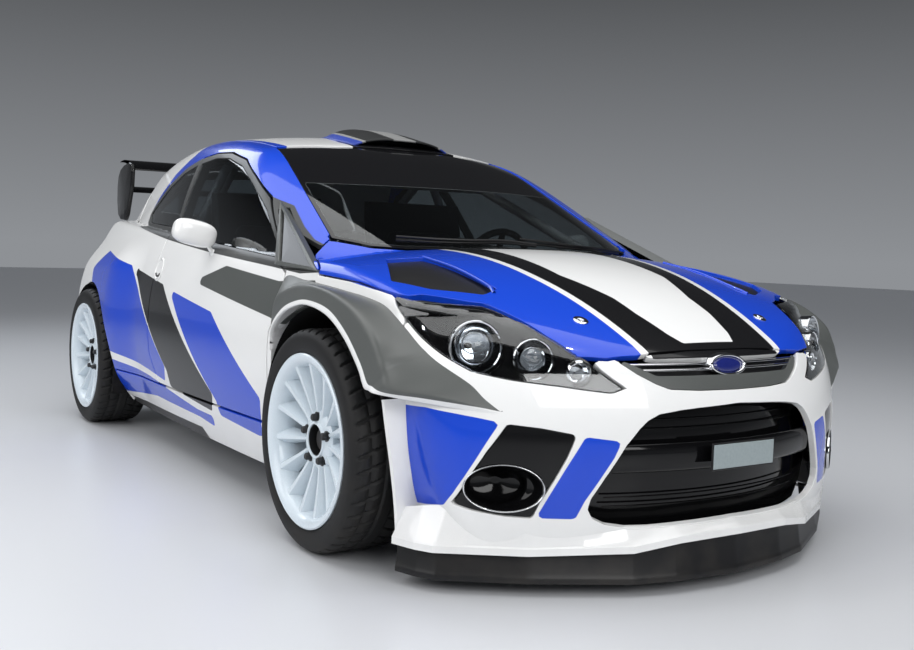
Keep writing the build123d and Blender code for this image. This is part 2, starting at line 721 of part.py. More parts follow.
tail_lamp_box = bar((-2100, -1000, 706 + seat_gap), (-1694 - seat_gap, -652 - seat_gap, 856 - seat_gap))
with BuildPart() as tail_lamp:
    add(outer)
    add(lower_hull(34), mode=Mode.SUBTRACT)
    add(tail_lamp_box, mode=Mode.INTERSECT)
    add(front_prism(tailgate_outline, tailgate_front_x + panel_gap, -2100, panel_gap), mode=Mode.SUBTRACT)
with BuildPart() as tail_lamps:
    add(add_pair_of(tail_lamp.part))
save(tail_lamps, "tail_lamps")

# Wheels, turned about +Z with the outer face up, then stood on the axle
bead_radius = 228
bead_half = 108
rim_half = 116
with BuildPart() as tyre:
    with BuildSketch(Plane.XZ):
        with BuildLine():
            seat = bead_radius + seat_gap
            edge = bead_half - seat_gap
            Polyline((seat, -edge), (rim_radius + 3, -edge), (262, -115), (282, -tyre_width / 2),
                     (308, -109), (tyre_radius, -94), (tyre_radius, 94), (308, 109),
                     (282, tyre_width / 2), (262, 115), (rim_radius + 3, edge), (seat, edge),
                     (seat, edge - 22), (258, 92), (296, 84), (296, -84), (258, -92), (seat, -edge + 22),
                     close=True)
        make_face()
    revolve(axis=Axis.Z)

hub_radius = 72
spoke_half = 6
spoke_pair_turn = 6.5
with BuildPart() as spoke:
    with BuildSketch(Plane.XZ):
        with BuildLine():
            Polyline((50, 30), (50, 64), (150, 84), (rim_bore + 4, 108), (rim_bore + 4, 82), (150, 54),
                     close=True)
        make_face()
    extrude(amount=spoke_half, both=True)
with BuildPart() as rim:
    with BuildSketch(Plane.XZ):
        with BuildLine():
            Polyline((rim_bore, -rim_half), (rim_radius, -rim_half), (rim_radius, -bead_half),
                     (bead_radius, -bead_half), (bead_radius, bead_half), (rim_radius, bead_half),
                     (rim_radius, rim_half), (bead_radius - 4, rim_half), (rim_bore, rim_half - 24),
                     close=True)
        make_face()
    revolve(axis=Axis.Z)
    with Locations((0, 0, 43)):
        Cylinder(hub_radius, 46)
    for spoke_turn in (-spoke_pair_turn, spoke_pair_turn):
        with PolarLocations(0, spoke_count, start_angle=spoke_turn):
            add(spoke.part)
    with Locations((0, 0, 39)):
        Cylinder(stub_radius + stub_clearance, 40, mode=Mode.SUBTRACT)

disc_z = -(wheel_center_y - 700)
with BuildPart() as brake_disc:
    with BuildSketch(Plane.XZ):
        with BuildLine():
            half = disc_thickness / 2
            Polyline((62, disc_z - half), (disc_radius, disc_z - half), (disc_radius, disc_z + half),
                     (80, disc_z + half), (80, 20 - seat_gap), (62, 20 - seat_gap), close=True)
        make_face()
    revolve(axis=Axis.Z)


def at_wheel(shape, axle_x):
    """A wheel piece stood up on the right-hand end of an axle."""
    return Pos(axle_x, -wheel_center_y, tyre_radius) * Rot(90, 0, 0) * shape


for axle_x, place in ((front_axle_x, "front"), (rear_axle_x, "rear")):
    for shape, name in ((tyre, "tyre"), (rim, "rim"), (brake_disc, "brake_disc")):
        with BuildPart() as placed:
            add(at_wheel(shape.part, axle_x))
        save_pair(placed, f"{place}_{name}")

# Hub carriers: an upright inboard of the disc, the stub, the calliper and the two ball pins
upright_y = 668
arm_low_z = (136, 150)
arm_high_z = (494, 512)
lug_low_z = (156, 170)
lug_high_z = (473, 488)
eye_radius = 22
calliper_arc = 25
calliper_section = ((104, -112), (200, -112), (200, -48), (104, -48), (104, -60), (152, -60), (152, -100),
                    (104, -100))


def hub_carrier(axle_x, pins):
    """Right-hand hub carrier, with ball pins on the steering axis where the wheel is steered."""
    with BuildPart() as carrier:
        add(bar((axle_x - 45, -upright_y, lug_low_z[0]), (axle_x + 45, -upright_y + 28, lug_high_z[1])))
        add(bar((axle_x - 130, -upright_y, 285), (axle_x, -upright_y + 28, 355)))
        with BuildSketch(Plane.XZ.offset(upright_y - 4)):
            with Locations((axle_x, tyre_radius)):
                Circle(stub_radius)
        extrude(amount=wheel_center_y + 58 - upright_y + 4)
        for turn in (1, -1):
            with BuildSketch(Plane.XY.offset(tyre_radius)):
                with BuildLine():
                    Polyline(*[(axle_x - r, -wheel_center_y - z) for r, z in calliper_section], close=True)
                make_face()
            revolve(axis=Axis((axle_x, 0, tyre_radius), (0, turn, 0)), revolution_arc=calliper_arc)
        if pins:
            for low, high in (lug_low_z, lug_high_z):
                add(bar((axle_x - eye_radius, -kingpin_y - eye_radius, low),
                        (axle_x + eye_radius, -upright_y + 10, high)))
            for low, high in ((arm_low_z[0], lug_low_z[0] + 1), (lug_high_z[1] - 1, arm_high_z[1])):
                with BuildSketch(Plane.XY.offset(low)):
                    with Locations((axle_x, -kingpin_y)):
                        Circle(ball_pin_radius)
                extrude(amount=high - low)
    return carrier.part


with BuildPart() as knuckle:
    add(hub_carrier(front_axle_x, True))
save_pair(knuckle, "knuckle")


def wishbone(axle_x, level, spread, inner_y, outer_y, bore):
    """Flat two-legged arm from the hub carrier to its inner pivots, right side."""
    low, high = level
    with BuildPart() as arm:
        with BuildSketch(Plane.XY.offset(low)):
            with BuildLine():
                Polyline((axle_x - 17, -outer_y), (axle_x - spread, -inner_y),
                         (axle_x - spread + 44, -inner_y),
                         (axle_x, -outer_y + 120), (axle_x + spread - 44, -inner_y),
                         (axle_x + spread, -inner_y), (axle_x + 17, -outer_y), close=True)
            make_face()
            with Locations((axle_x, -outer_y)):
                Circle(eye_radius)
                if bore:
                    Circle(ball_pin_radius + ball_pin_clearance, mode=Mode.SUBTRACT)
        extrude(amount=high - low)
    return arm.part


def strut(axle_x, y, low, high):
    """Upright spring and damper between the lower arm and its top mount, right side."""
    with BuildPart() as leg:
        with BuildSketch(Plane.XY.offset(low)):
            with Locations((axle_x, -y)):
                Circle(20)
        extrude(amount=high - low)
        for step in range(6):
            with BuildSketch(Plane.XY.offset(low + (high - low) * (0.42 + 0.09 * step))):
                with Locations((axle_x, -y)):
                    Circle(42)
            extrude(amount=14)
    return leg.part


strut_y = 560
strut_top_front = 640 - seat_gap
strut_top_rear = 655 - seat_gap
with BuildPart() as front_corner:
    add(wishbone(front_axle_x, arm_low_z, 110, 385, kingpin_y, True))
    add(wishbone(front_axle_x, arm_high_z, 75, 450 + seat_gap, kingpin_y, True))
    add(strut(front_axle_x, strut_y, arm_low_z[1] - 2, strut_top_front))
    add(bar((front_axle_x - 160, -400, 128), (front_axle_x - 110, 0, 178)))
    add(bar((front_axle_x + 110, -400, 128), (front_axle_x + 160, 0, 178)))
    add(bar((front_axle_x - 160, -445, 128), (front_axle_x + 160, -385, 178)))
    add(bar((front_axle_x - 150, -445, 170), (front_axle_x - 90, -395, 330 - seat_gap)))
    add(bar((front_axle_x + 90, -445, 170), (front_axle_x + 150, -395, 330 - seat_gap)))
with BuildPart() as front_suspension:
    add(add_pair_of(front_corner.part))
save(front_suspension, "front_suspension")

with BuildPart() as rear_corner:
    add(hub_carrier(rear_axle_x, False))
    add(wishbone(rear_axle_x, arm_low_z, 140, 385, upright_y - 10, False))
    add(bar((rear_axle_x - 30, -upright_y, arm_low_z[0]), (rear_axle_x + 30, -upright_y + 28, lug_low_z[1])))
    add(strut(rear_axle_x, strut_y, arm_low_z[1] - 2, strut_top_rear))
    add(bar((rear_axle_x - 160, -400, 128), (rear_axle_x - 110, 0, 178)))
    add(bar((rear_axle_x + 110, -400, 128), (rear_axle_x + 160, 0, 178)))
    add(bar((rear_axle_x - 160, -445, 128), (rear_axle_x + 160, -385, 178)))
    add(bar((rear_axle_x - 150, -445, 170), (rear_axle_x - 90, -395, 330 - seat_gap)))
    add(bar((rear_axle_x + 90, -445, 170), (rear_axle_x + 150, -395, 330 - seat_gap)))
with BuildPart() as rear_suspension:
    add(add_pair_of(rear_corner.part))
save(rear_suspension, "rear_suspension")

# Floor, tunnel, bulkhead, front rails, strut towers and boot floor
floor_half = sill_inner - seat_gap
with BuildPart() as floor_pan:
    with BuildPart(mode=Mode.PRIVATE) as right_floor:
        add(bar((-905, -floor_half, 175), (762, -90, 197)))
        add(bar((-905, -112, 175), (762, -90, 320)))
        add(bar((-905, -112, 300), (762, 0, 320)))
        add(bar((742, -690, 175), (762, 0, 600)))
        add(bar((742, -620, 590), (762, 0, 800)))
        add(bar((742, -450, 330), (1620, -390, 430)))
        add(bar((1580, -560, 330), (1620, 0, 430)))
        add(bar((front_axle_x - 100, -450, 420), (front_axle_x + 100, -430, 655)))
        add(bar((front_axle_x - 70, -600, 640), (front_axle_x + 70, -430, 655)))
        add(bar((-925, -490, 175), (-905, 0, 350)))
        add(bar((-925, -floor_half, 175), (-905, -480, 250)))
        add(bar((-1780, -490, 330), (-905, 0, 350)))
        add(bar((-1780, -490, 330), (-905, -480, 700)))
        add(bar((rear_axle_x - 120, -640, 655), (rear_axle_x + 120, -480, 670)))
    add(add_pair_of(right_floor.part))
    with Locations((-915, 0, 270)):
        Box(40, 140, 140, mode=Mode.SUBTRACT)
save(floor_pan, "floor_pan")

# Engine as one plain block on its mounts, and the exhaust
with BuildPart() as engine_block:
    add(bar((930, -300, 300), (1400, 300, 690)))
    add(bar((1100, -390 + seat_gap, 370), (1200, 390 - seat_gap, 420)))
save(engine_block, "engine_block")

pipe_radius = 30
pipe_z = 300 - seat_gap - pipe_radius
with BuildPart() as exhaust:
    add(tube(((720, 0, pipe_z), (-1510, 0, pipe_z)), pipe_radius, 100))
    add(bar((-1760, -300, 220), (-1500, 300, 330 - seat_gap)))
    add(tube(((-1750, *tail_pipe), (-1962, *tail_pipe)), tail_pipe_radius, 100))
save(exhaust, "exhaust")

# Seats, dashboard, steering wheel and roll cage
seat_y = 360
seat_half = 235
with BuildPart() as seat:
    with BuildSketch(Plane.XZ.offset(seat_y - seat_half)):
        with BuildLine():
            Polyline((220, 197 + seat_gap), (230, 350), (160, 372), (-190, 330), (-262, 560), (-362, 1080),
                     (-425, 1084), (-425, 1010), (-330, 560), (-270, 197 + seat_gap), close=True)
        make_face()
    extrude(amount=2 * seat_half)
    for side_y in (seat_y - seat_half, seat_y + seat_half - 40):
        with BuildSketch(Plane.XZ.offset(side_y)):
            with BuildLine():
                Polyline((200, 300), (190, 420), (20, 460), (-140, 560), (-180, 800), (-290, 830),
                         (-262, 560), (-190, 320), close=True)
            make_face()
        extrude(amount=40)
with BuildPart() as seats:
    add(add_pair_of(seat.part))
save(seats, "seats")

wheel_place = (285, 360, 808)
column_lean = 20
column_dir = (cos(radians(column_lean)), 0, -sin(radians(column_lean)))
column_radius = 15
column_length = 260
with BuildPart() as dashboard:
    with BuildSketch(Plane.XZ.offset(-550)):
        with BuildLine():
            Polyline((742 - seat_gap, 640), (742 - seat_gap, 812), (640, 842), (500, 830), (455, 790),
                     (450, 700), (520, 600), (700, 600), close=True)
        make_face()
    extrude(amount=1100)
    with BuildSketch(Plane(origin=wheel_place, z_dir=column_dir)):
        Circle(column_radius + stub_clearance)
    extrude(amount=column_length + 5, mode=Mode.SUBTRACT)
save(dashboard, "dashboard")

with BuildPart() as steering_wheel:
    wheel_plane = Plane(origin=wheel_place, x_dir=(0, 1, 0), z_dir=column_dir)
    with BuildSketch(wheel_plane):
        Circle(column_radius)
    extrude(amount=column_length)
    with BuildSketch(wheel_plane):
        Circle(40)
    extrude(amount=40)
    with BuildSketch(wheel_plane):
        with PolarLocations(75, 3, start_angle=90):
            Rectangle(150, 28)
    extrude(amount=6)
    with BuildSketch(Plane(origin=wheel_place, x_dir=column_dir, z_dir=(0, 1, 0))):
        with Locations((4, 155)):
            Circle(14)
    revolve(axis=Axis(wheel_place, column_dir))
save(steering_wheel, "steering_wheel")

cage_radius = 20
cage_foot_z = 197 + seat_gap
hoop_x = -480
with BuildPart() as roll_cage:
    add(tube(((hoop_x, -680, cage_foot_z), (hoop_x, -680, 840), (hoop_x, -500, 1222), (hoop_x, 500, 1222),
              (hoop_x, 680, 840), (hoop_x, 680, cage_foot_z)), cage_radius, 80))
    for side in (-1, 1):
        add(tube(((hoop_x, side * 480, 1218), (30, side * 460, 1140), (690, side * 585, 842),
                  (690, side * 585, cage_foot_z)), cage_radius, 80))
        add(tube(((hoop_x, side * 470, 1215), (-1250, side * 450, 720)), cage_radius, 80))
    add(tube(((30, -455, 1140), (30, 455, 1140)), cage_radius, 80))
save(roll_cage, "roll_cage")
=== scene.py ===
"""Looks of the rally car: painted skin cast from one surface formula, flares, wheels, lamps and cabin.

Frame in metres: +X forward, +Y to the car's left, +Z up. The photographed side is the right one, and
what is there on both sides is made for the right-hand one and mirrored.
"""
import math

import bpy
import numpy as np
from mathutils import Matrix, Vector


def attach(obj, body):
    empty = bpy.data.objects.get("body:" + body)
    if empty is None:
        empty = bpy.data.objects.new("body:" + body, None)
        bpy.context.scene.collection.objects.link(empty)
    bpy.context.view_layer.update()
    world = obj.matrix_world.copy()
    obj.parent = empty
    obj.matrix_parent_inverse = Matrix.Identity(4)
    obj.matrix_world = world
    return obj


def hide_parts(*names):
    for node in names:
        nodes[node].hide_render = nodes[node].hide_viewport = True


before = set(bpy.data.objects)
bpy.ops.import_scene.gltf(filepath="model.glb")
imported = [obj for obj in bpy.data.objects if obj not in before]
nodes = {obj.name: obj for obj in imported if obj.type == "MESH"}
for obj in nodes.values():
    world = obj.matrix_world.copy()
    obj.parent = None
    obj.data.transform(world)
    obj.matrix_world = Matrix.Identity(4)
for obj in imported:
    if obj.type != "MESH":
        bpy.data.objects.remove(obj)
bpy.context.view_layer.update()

SHUT_LINE = 0.0045
EDGE_ROUND = 0.0018
PANEL_WALL = 0.018
DOOR_WALL = 0.045
GLASS_SINK = 0.004
FRONT_AXLE_X = 1.1515
REAR_AXLE_X = -1.3285
AXLE_Z = 0.32
WHEEL_Y = 0.78
X, Y, Z = 0, 1, 2
UP, FORWARD, RIGHTWARD = np.array(((0, 0, 1.0), (1.0, 0, 0), (0, -1.0, 0)))


# Surface formulas

def circle(a, b, c):
    """Centre and radius of the circle through three points."""
    d = 2 * (a[0] * (b[1] - c[1]) + b[0] * (c[1] - a[1]) + c[0] * (a[1] - b[1]))
    sa, sb, sc = (p[0] ** 2 + p[1] ** 2 for p in (a, b, c))
    x = (sa * (b[1] - c[1]) + sb * (c[1] - a[1]) + sc * (a[1] - b[1])) / d
    z = (sa * (c[0] - b[0]) + sb * (a[0] - c[0]) + sc * (b[0] - a[0])) / d
    return x, z, np.hypot(a[0] - x, a[1] - z)


def hermite(t, knots, values):
    """Smooth curve through (knots, values): cubic pieces whose slopes are the mean of their neighbours'."""
    k, v = np.asarray(knots, float), np.asarray(values, float)
    slope = np.gradient(v, k)
    t = np.clip(t, k[0], k[-1])
    i = np.clip(np.searchsorted(k, t, side="right") - 1, 0, len(k) - 2)
    h = k[i + 1] - k[i]
    s = (t - k[i]) / h
    return ((2 * s ** 3 - 3 * s ** 2 + 1) * v[i] + (s ** 3 - 2 * s ** 2 + s) * h * slope[i]
            + (3 * s ** 2 - 2 * s ** 3) * v[i + 1] + (s ** 3 - s ** 2) * h * slope[i + 1])


def smooth_max(a, b, k):
    """Larger of two distances with the corner between them rounded by about k."""
    h = np.clip(0.5 + 0.5 * (a - b) / k, 0, 1)
    return b + (a - b) * h + k * h * (1 - h)


def ramp(t, low, high):
    """0 below low, 1 above high, smooth between."""
    s = np.clip((t - low) / (high - low), 0, 1)
    return s * s * (3 - 2 * s)


LOW_ARC = circle((0.775, 0.13), (0.865, 0.48), (0.800, 0.86))
CABIN_ARC = circle((0.800, 0.78), (0.712, 1.04), (0.572, 1.30))
BONNET_ARC = circle((0.985, 0.885), (1.5, 0.79), (1.857, 0.624))
ROOF_ARC = circle((0.222, 1.262), (-0.4, 1.35), (-1.42, 1.275))
BELT = ((-1.735, 0.985), (0.907, 0.830))
SIDE_PLAN_RADIUS, CABIN_PLAN_RADIUS, NOSE_PLAN_RADIUS, TAIL_PLAN_RADIUS = 18, 9, 1.1, 1.5
BONNET_CROWN, ROOF_CROWN, SCREEN_CROWN, REAR_WINDOW_CROWN = 5.2, 2.9, 2.2, 1.8


def side_half(x, z):
    """Half width below the belt: an upright arc in section, an 18 m arc in plan."""
    s = LOW_ARC[0] + np.sqrt(LOW_ARC[2] ** 2 - (np.clip(z, 0.05, 1.0) - LOW_ARC[1]) ** 2)
    far = SIDE_PLAN_RADIUS - 0.865
    return np.sqrt((far + s) ** 2 - (x + 0.1) ** 2) - far


def cabin_half(x, z):
    """Half width above the belt: an upright arc in section, a 9 m arc in plan."""
    s = CABIN_ARC[0] + np.sqrt(np.maximum(CABIN_ARC[2] ** 2 - (z - CABIN_ARC[1]) ** 2, 0.01))
    far = CABIN_PLAN_RADIUS - 0.712
    return np.sqrt((far + s) ** 2 - (x - 0.1) ** 2) - far


def nose_x(z):
    """How far forward the nose is at the middle, by height."""
    return hermite(z, (0.10, 0.20, 0.30, 0.40, 0.48, 0.545, 0.60, 0.64, 0.70),
                   (1.925, 1.950, 1.962, 1.9655, 1.955, 1.935, 1.908, 1.880, 1.82))


def tail_x(z):
    """How far back the tail is at the middle, by height."""
    return hermite(z, (0.20, 0.26, 0.33, 0.48, 0.60, 0.70, 0.79, 0.93, 0.985, 1.1),
                   (1.84, 1.88, 1.945, 1.9815, 1.9565, 1.905, 1.850, 1.790, 1.735, 1.62))


def sag(y, radius):
    """How far a circle has dropped at y from its crest."""
    return radius - np.sqrt(np.maximum(radius ** 2 - y ** 2, 0.01))


def drum(x, y, z, arc, crown):
    """Distance above a surface that follows an arc along the car and drops to the sides."""
    return np.hypot(x - arc[0], z - arc[1]) - arc[2] + sag(y, crown)


def leaning(x, y, z, base, out, radius):
    """Distance in front of a leaning upright cylinder: base point and outward direction in (x, z)."""
    return np.hypot((x - base[0]) * out[0] + (z - base[1]) * out[1] + radius, y) - radius


def rear_bulge(x, z):
    """Extra half width of the rear flare: a product of smooth ramps along and up the car."""
    along = ramp(x, -0.60, -1.02) * (1 - ramp(x, -1.62, -1.95) * 0.6)
    up = ramp(z, 0.90, 0.74) * ramp(z, 0.10, 0.30)
    return 0.048 * along * up


def body(x, y, z):
    """Distance-like value of the car's outer surface: below 0 inside, above 0 outside."""
    y = np.abs(y)
    side = y - side_half(x, z) - rear_bulge(x, z)
    nose = x - nose_x(z) + sag(y, NOSE_PLAN_RADIUS)
    tail = -x - tail_x(z) + sag(y, TAIL_PLAN_RADIUS)
    belt = z - BELT[0][1] - (x - BELT[0][0]) * (BELT[1][1] - BELT[0][1]) / (BELT[1][0] - BELT[0][0])
    top = np.where(x > 0.908, drum(x, y, z, BONNET_ARC, BONNET_CROWN), belt)
    low = smooth_max(smooth_max(side, np.maximum(nose, tail), 0.05), top, 0.03)
    cabin = smooth_max(y - cabin_half(x, z), drum(x, y, z, ROOF_ARC, ROOF_CROWN), 0.06)
    screen = leaning(x, y, z, (1.020, 0.878), (0.4336, 0.9011), SCREEN_CROWN)
    rear = leaning(x, y, z, (-1.700, 1.000), (-0.7007, 0.7135), REAR_WINDOW_CROWN)
    cabin = smooth_max(cabin, np.maximum(screen, rear), 0.03)
    return np.minimum(low, smooth_max(cabin, 0.79 - z, 0.07))


def slope_of(value, points, step=0.0015):
    """Gradient of a function of points, by central differences."""
    found = np.empty_like(points)
    for axis in range(3):
        shift = np.zeros(3)
        shift[axis] = step
        found[:, axis] = value(points + shift) - value(points - shift)
    return found / (2 * step)


def unit(vectors):
    return vectors / np.maximum(np.linalg.norm(vectors, axis=-1, keepdims=True), 1e-9)


def body_normal(points):
    return unit(slope_of(lambda p: body(p[:, 0], p[:, 1], p[:, 2]), points))


def cast(start, direction, reach=2.6):
    """Where rays from inside the body leave it, by halving; start and direction are arrays of points."""
    start, direction = np.broadcast_arrays(np.asarray(start, float), np.asarray(direction, float))
    low = np.zeros(start.shape[:-1])
    high = np.full(start.shape[:-1], reach)
    for _ in range(24):
        middle = (low + high) / 2
        p = start + direction * middle[..., None]
        outside = body(p[..., 0], p[..., 1], p[..., 2]) > 0
        high = np.where(outside, middle, high)
        low = np.where(outside, low, middle)
    return start + direction * high[..., None]


def at_points(x, y, z):
    """Array of points from coordinates whose shapes broadcast."""
    return np.stack(np.broadcast_arrays(x, y, z), -1)


def along_template(count):
    """Even points (y, z) along the car's section from the sill over the side to the roof's middle."""
    corners = np.array(((0.76, 0.13), (0.865, 0.48), (0.80, 0.86), (0.712, 1.04), (0.572, 1.30), (0, 1.35)))
    length = np.r_[0, np.cumsum(np.hypot(*np.diff(corners, axis=0).T))]
    at = np.linspace(0, length[-1], count)
    return np.interp(at, length, corners[:, 0]), np.interp(at, length, corners[:, 1])


def fan(low, high, count):
    """Cosines and sines of even angles in degrees."""
    angle = np.radians(np.linspace(low, high, count))
    return np.cos(angle), np.sin(angle)


def side_zone():
    """Right side: rays from (x, .2, .72) in the cross section, turning round to the tail at the back."""
    x = np.arange(1.52, -1.45, -0.0105)
    turn = np.radians(np.linspace(0, 88, 64))[1:]
    plan_x = np.r_[x, np.full(len(turn), x[-1])][:, None]
    angle = np.r_[0 * x, turn][:, None]
    out, up = along_template(168)
    out, up = out - 0.2, up - 0.72
    start = at_points(plan_x, 0.2, np.interp(plan_x, (0.9, 1.5), (0.72, 0.6)))
    return flipped(cast(start, unit(at_points(-np.sin(angle) * out, np.cos(angle) * out, up))))


def bonnet_zone():
    """Bonnet: rays from (x, 0, .4) fanned across the car."""
    along, across = fan(-74, 74, 181)
    return cast(at_points(np.linspace(0.74, 1.885, 128)[:, None], 0, 0.4), at_points(0, across, along))


def top_zone():
    """Roof and windscreen: upright rays."""
    x, y = np.linspace(1.035, -1.43, 220), np.linspace(-0.66, 0.66, 121)
    return cast(at_points(x[:, None], y, 0.80), UP)


def nose_zone():
    """Nose: rays from (1.2, 0, z) fanned round in plan."""
    along, across = fan(-79, 79, 221)
    z = np.arange(0.128, 0.756, 0.0085)
    return cast(at_points(1.2, 0, z[:, None]), at_points(along, across, 0))[:, ::-1]


def tail_zone():
    """Rear bumper: rays from (-1.3, 0, z) fanned round in plan."""
    along, across = fan(-74, 74, 161)
    z = np.arange(0.135, 0.60, 0.0105)
    return cast(at_points(-1.3, 0, z[:, None]), at_points(-along, across, 0))


def hatch_zone():
    """Tailgate: rays from (-1.15, y, .6) fanned up and back."""
    along, up = fan(-3, 78, 118)
    return cast(at_points(-1.15, np.linspace(-0.67, 0.67, 122), 0.6), at_points(-along, 0, up)[:, None])


def grid_triangles(rows, columns):
    """Two triangles a cell of a grid of points stored row by row."""
    corner = (np.arange(rows - 1)[:, None] * columns + np.arange(columns - 1)).ravel()
    a, b, c, d = corner, corner + columns, corner + columns + 1, corner + 1
    return np.concatenate([np.stack([a, b, c], 1), np.stack([a, c, d], 1)])


# Outlines

def outline_distance(u, v, outline):
    """Signed distance from points (u, v) to a closed outline: below 0 inside."""
    a = np.asarray(outline, float)
    edge = np.roll(a, -1, 0) - a
    du, dv = u[:, None] - a[:, 0], v[:, None] - a[:, 1]
    t = np.clip((du * edge[:, 0] + dv * edge[:, 1]) / (edge ** 2).sum(1), 0, 1)
    gap = np.hypot(du - edge[:, 0] * t, dv - edge[:, 1] * t).min(1)
    b = a + edge
    above = (a[:, 1] > v[:, None]) != (b[:, 1] > v[:, None])
    rise = np.where(edge[:, 1] == 0, 1, edge[:, 1])
    crossing = above & (u[:, None] < a[:, 0] + (v[:, None] - a[:, 1]) * edge[:, 0] / rise)
    return np.where(crossing.sum(1) % 2 == 1, -gap, gap)


def inset_outline(outline, distance):
    """Outline whose corners are moved inwards along their bisectors."""
    a = np.asarray(outline, float)
    edge = np.roll(a, -1, 0) - a
    normal = np.stack([-edge[:, 1], edge[:, 0]], 1) / np.hypot(edge[:, 0], edge[:, 1])[:, None]
    if (a[:, 0] * np.roll(a[:, 1], -1) - np.roll(a[:, 0], -1) * a[:, 1]).sum() < 0:
        normal = -normal
    before = np.roll(normal, 1, 0)
    return a + distance * (normal + before) / (1 + (normal * before).sum(1))[:, None]


def soft_distance(u, v, outline, radius):
    """Signed distance to an outline with corners of a radius."""
    return outline_distance(u, v, inset_outline(outline, radius)) - radius


def both(half):
    """Outline closed by its mirror image across y = 0; half runs from the middle line to the middle line."""
    return [tuple(p) for p in half] + [(u, -v) for u, v in reversed(half) if v]


def both_front(half):
    """The same for an outline seen from the front, with y first."""
    return [tuple(p) for p in half] + [(-u, v) for u, v in reversed(half) if u]


DOOR = ((0.765, 0.300), (0.765, 0.600), (0.800, 0.650), (0.806, 0.784), (0.748, 0.812), (0.420, 1.040),
        (0.230, 1.122), (0.040, 1.195), (-0.180, 1.236), (-0.370, 1.246), (-0.560, 1.238), (-0.425, 0.905),
        (-0.425, 0.420), (-0.350, 0.300))
DOOR_WINDOW = ((0.684, 0.837), (0.560, 0.921), (0.455, 0.992), (0.390, 1.024), (0.225, 1.096), (0.045, 1.166),
               (-0.170, 1.210), (-0.350, 1.220), (-0.528, 1.208), (-0.410, 0.915))
QUARTER_LIGHT = ((0.966, 0.807), (0.850, 0.812), (0.762, 0.821), (0.620, 0.921), (0.508, 0.999),
                 (0.520, 1.000), (0.620, 0.944), (0.697, 0.904), (0.850, 0.846))
REAR_QUARTER = ((-0.455, 0.935), (-0.585, 1.205), (-0.760, 1.178), (-0.930, 1.110), (-1.075, 1.005),
                (-1.010, 0.962))
BONNET = both(((1.032, 0), (1.010, -0.250), (0.938, -0.440), (0.878, -0.536), (0.768, -0.638),
               (0.815, -0.710), (1.012, -0.786), (1.012, -0.920), (1.462, -0.940), (1.462, -0.701),
               (1.543, -0.606), (1.562, -0.570), (1.630, -0.538), (1.740, -0.491), (1.807, -0.447),
               (1.836, -0.373), (1.852, -0.285), (1.857, 0)))
SKIRT = ((0.700, 0.808), (1.000, 0.790), (1.250, 0.775), (1.480, 0.742), (1.550, 0.722), (1.620, 0.696),
         (1.740, 0.640), (1.800, 0.592), (1.900, 0.530))
SCREEN = both(((1.014, 0), (0.992, -0.250), (0.918, -0.440), (0.862, -0.530), (0.757, -0.622),
               (0.060, -0.520), (0.150, -0.300), (0.196, 0)))
ROOF = both(((0.182, 0), (0.136, -0.306), (0.040, -0.516), (-0.500, -0.500), (-1.100, -0.470),
             (-1.408, -0.440), (-1.408, 0)))
HATCH = both_front(((0, 1.45), (-0.430, 1.45), (-0.440, 1.29), (-0.540, 1.130), (-0.610, 0.985),
                    (-0.640, 0.616), (0, 0.5965)))
REAR_WINDOW = both_front(((0, 1.226), (-0.320, 1.204), (-0.460, 1.036), (0, 1.016)))
UPPER_GRILLE = both_front(((0, 0.528), (-0.134, 0.529), (-0.225, 0.534), (-0.262, 0.548), (-0.306, 0.572),
                           (-0.345, 0.602), (-0.325, 0.605), (0, 0.605)))
LOWER_GRILLE = both_front(((0, 0.184), (-0.146, 0.181), (-0.270, 0.178), (-0.335, 0.180), (-0.390, 0.190),
                           (-0.425, 0.208), (-0.438, 0.232), (-0.433, 0.258), (-0.404, 0.310),
                           (-0.356, 0.392), (-0.320, 0.434), (-0.297, 0.454), (-0.265, 0.469),
                           (-0.200, 0.478), (-0.144, 0.482), (0, 0.489)))
FOG_POD = ((-0.566, 0.209), (-0.624, 0.213), (-0.688, 0.224), (-0.723, 0.235), (-0.702, 0.302),
           (-0.667, 0.375), (-0.626, 0.443), (-0.556, 0.435), (-0.480, 0.420), (-0.500, 0.365),
           (-0.527, 0.304), (-0.553, 0.252))
HEADLAMP = ((1.425, 0.749), (1.509, 0.736), (1.567, 0.731), (1.605, 0.719), (1.688, 0.686), (1.766, 0.644),
            (1.820, 0.604), (1.880, 0.536), (1.873, 0.526), (1.817, 0.541), (1.750, 0.554), (1.687, 0.571),
            (1.631, 0.605), (1.561, 0.650), (1.480, 0.704))
VENT = ((1.108, -0.612), (1.137, -0.505), (1.490, -0.481), (1.513, -0.538), (1.437, -0.657), (1.340, -0.724))
TAIL_LAMP = ((-2.2, 0.706), (-1.694, 0.706), (-1.694, 0.856), (-2.2, 0.856))
FRONT_ARCH = ((0.797, 0), (0.797, 0.560), (0.818, 0.612), (0.915, 0.668), (1.030, 0.698), (1.150, 0.712),
              (1.300, 0.694), (1.410, 0.642), (1.490, 0.574), (1.503, 0.500), (1.503, 0))

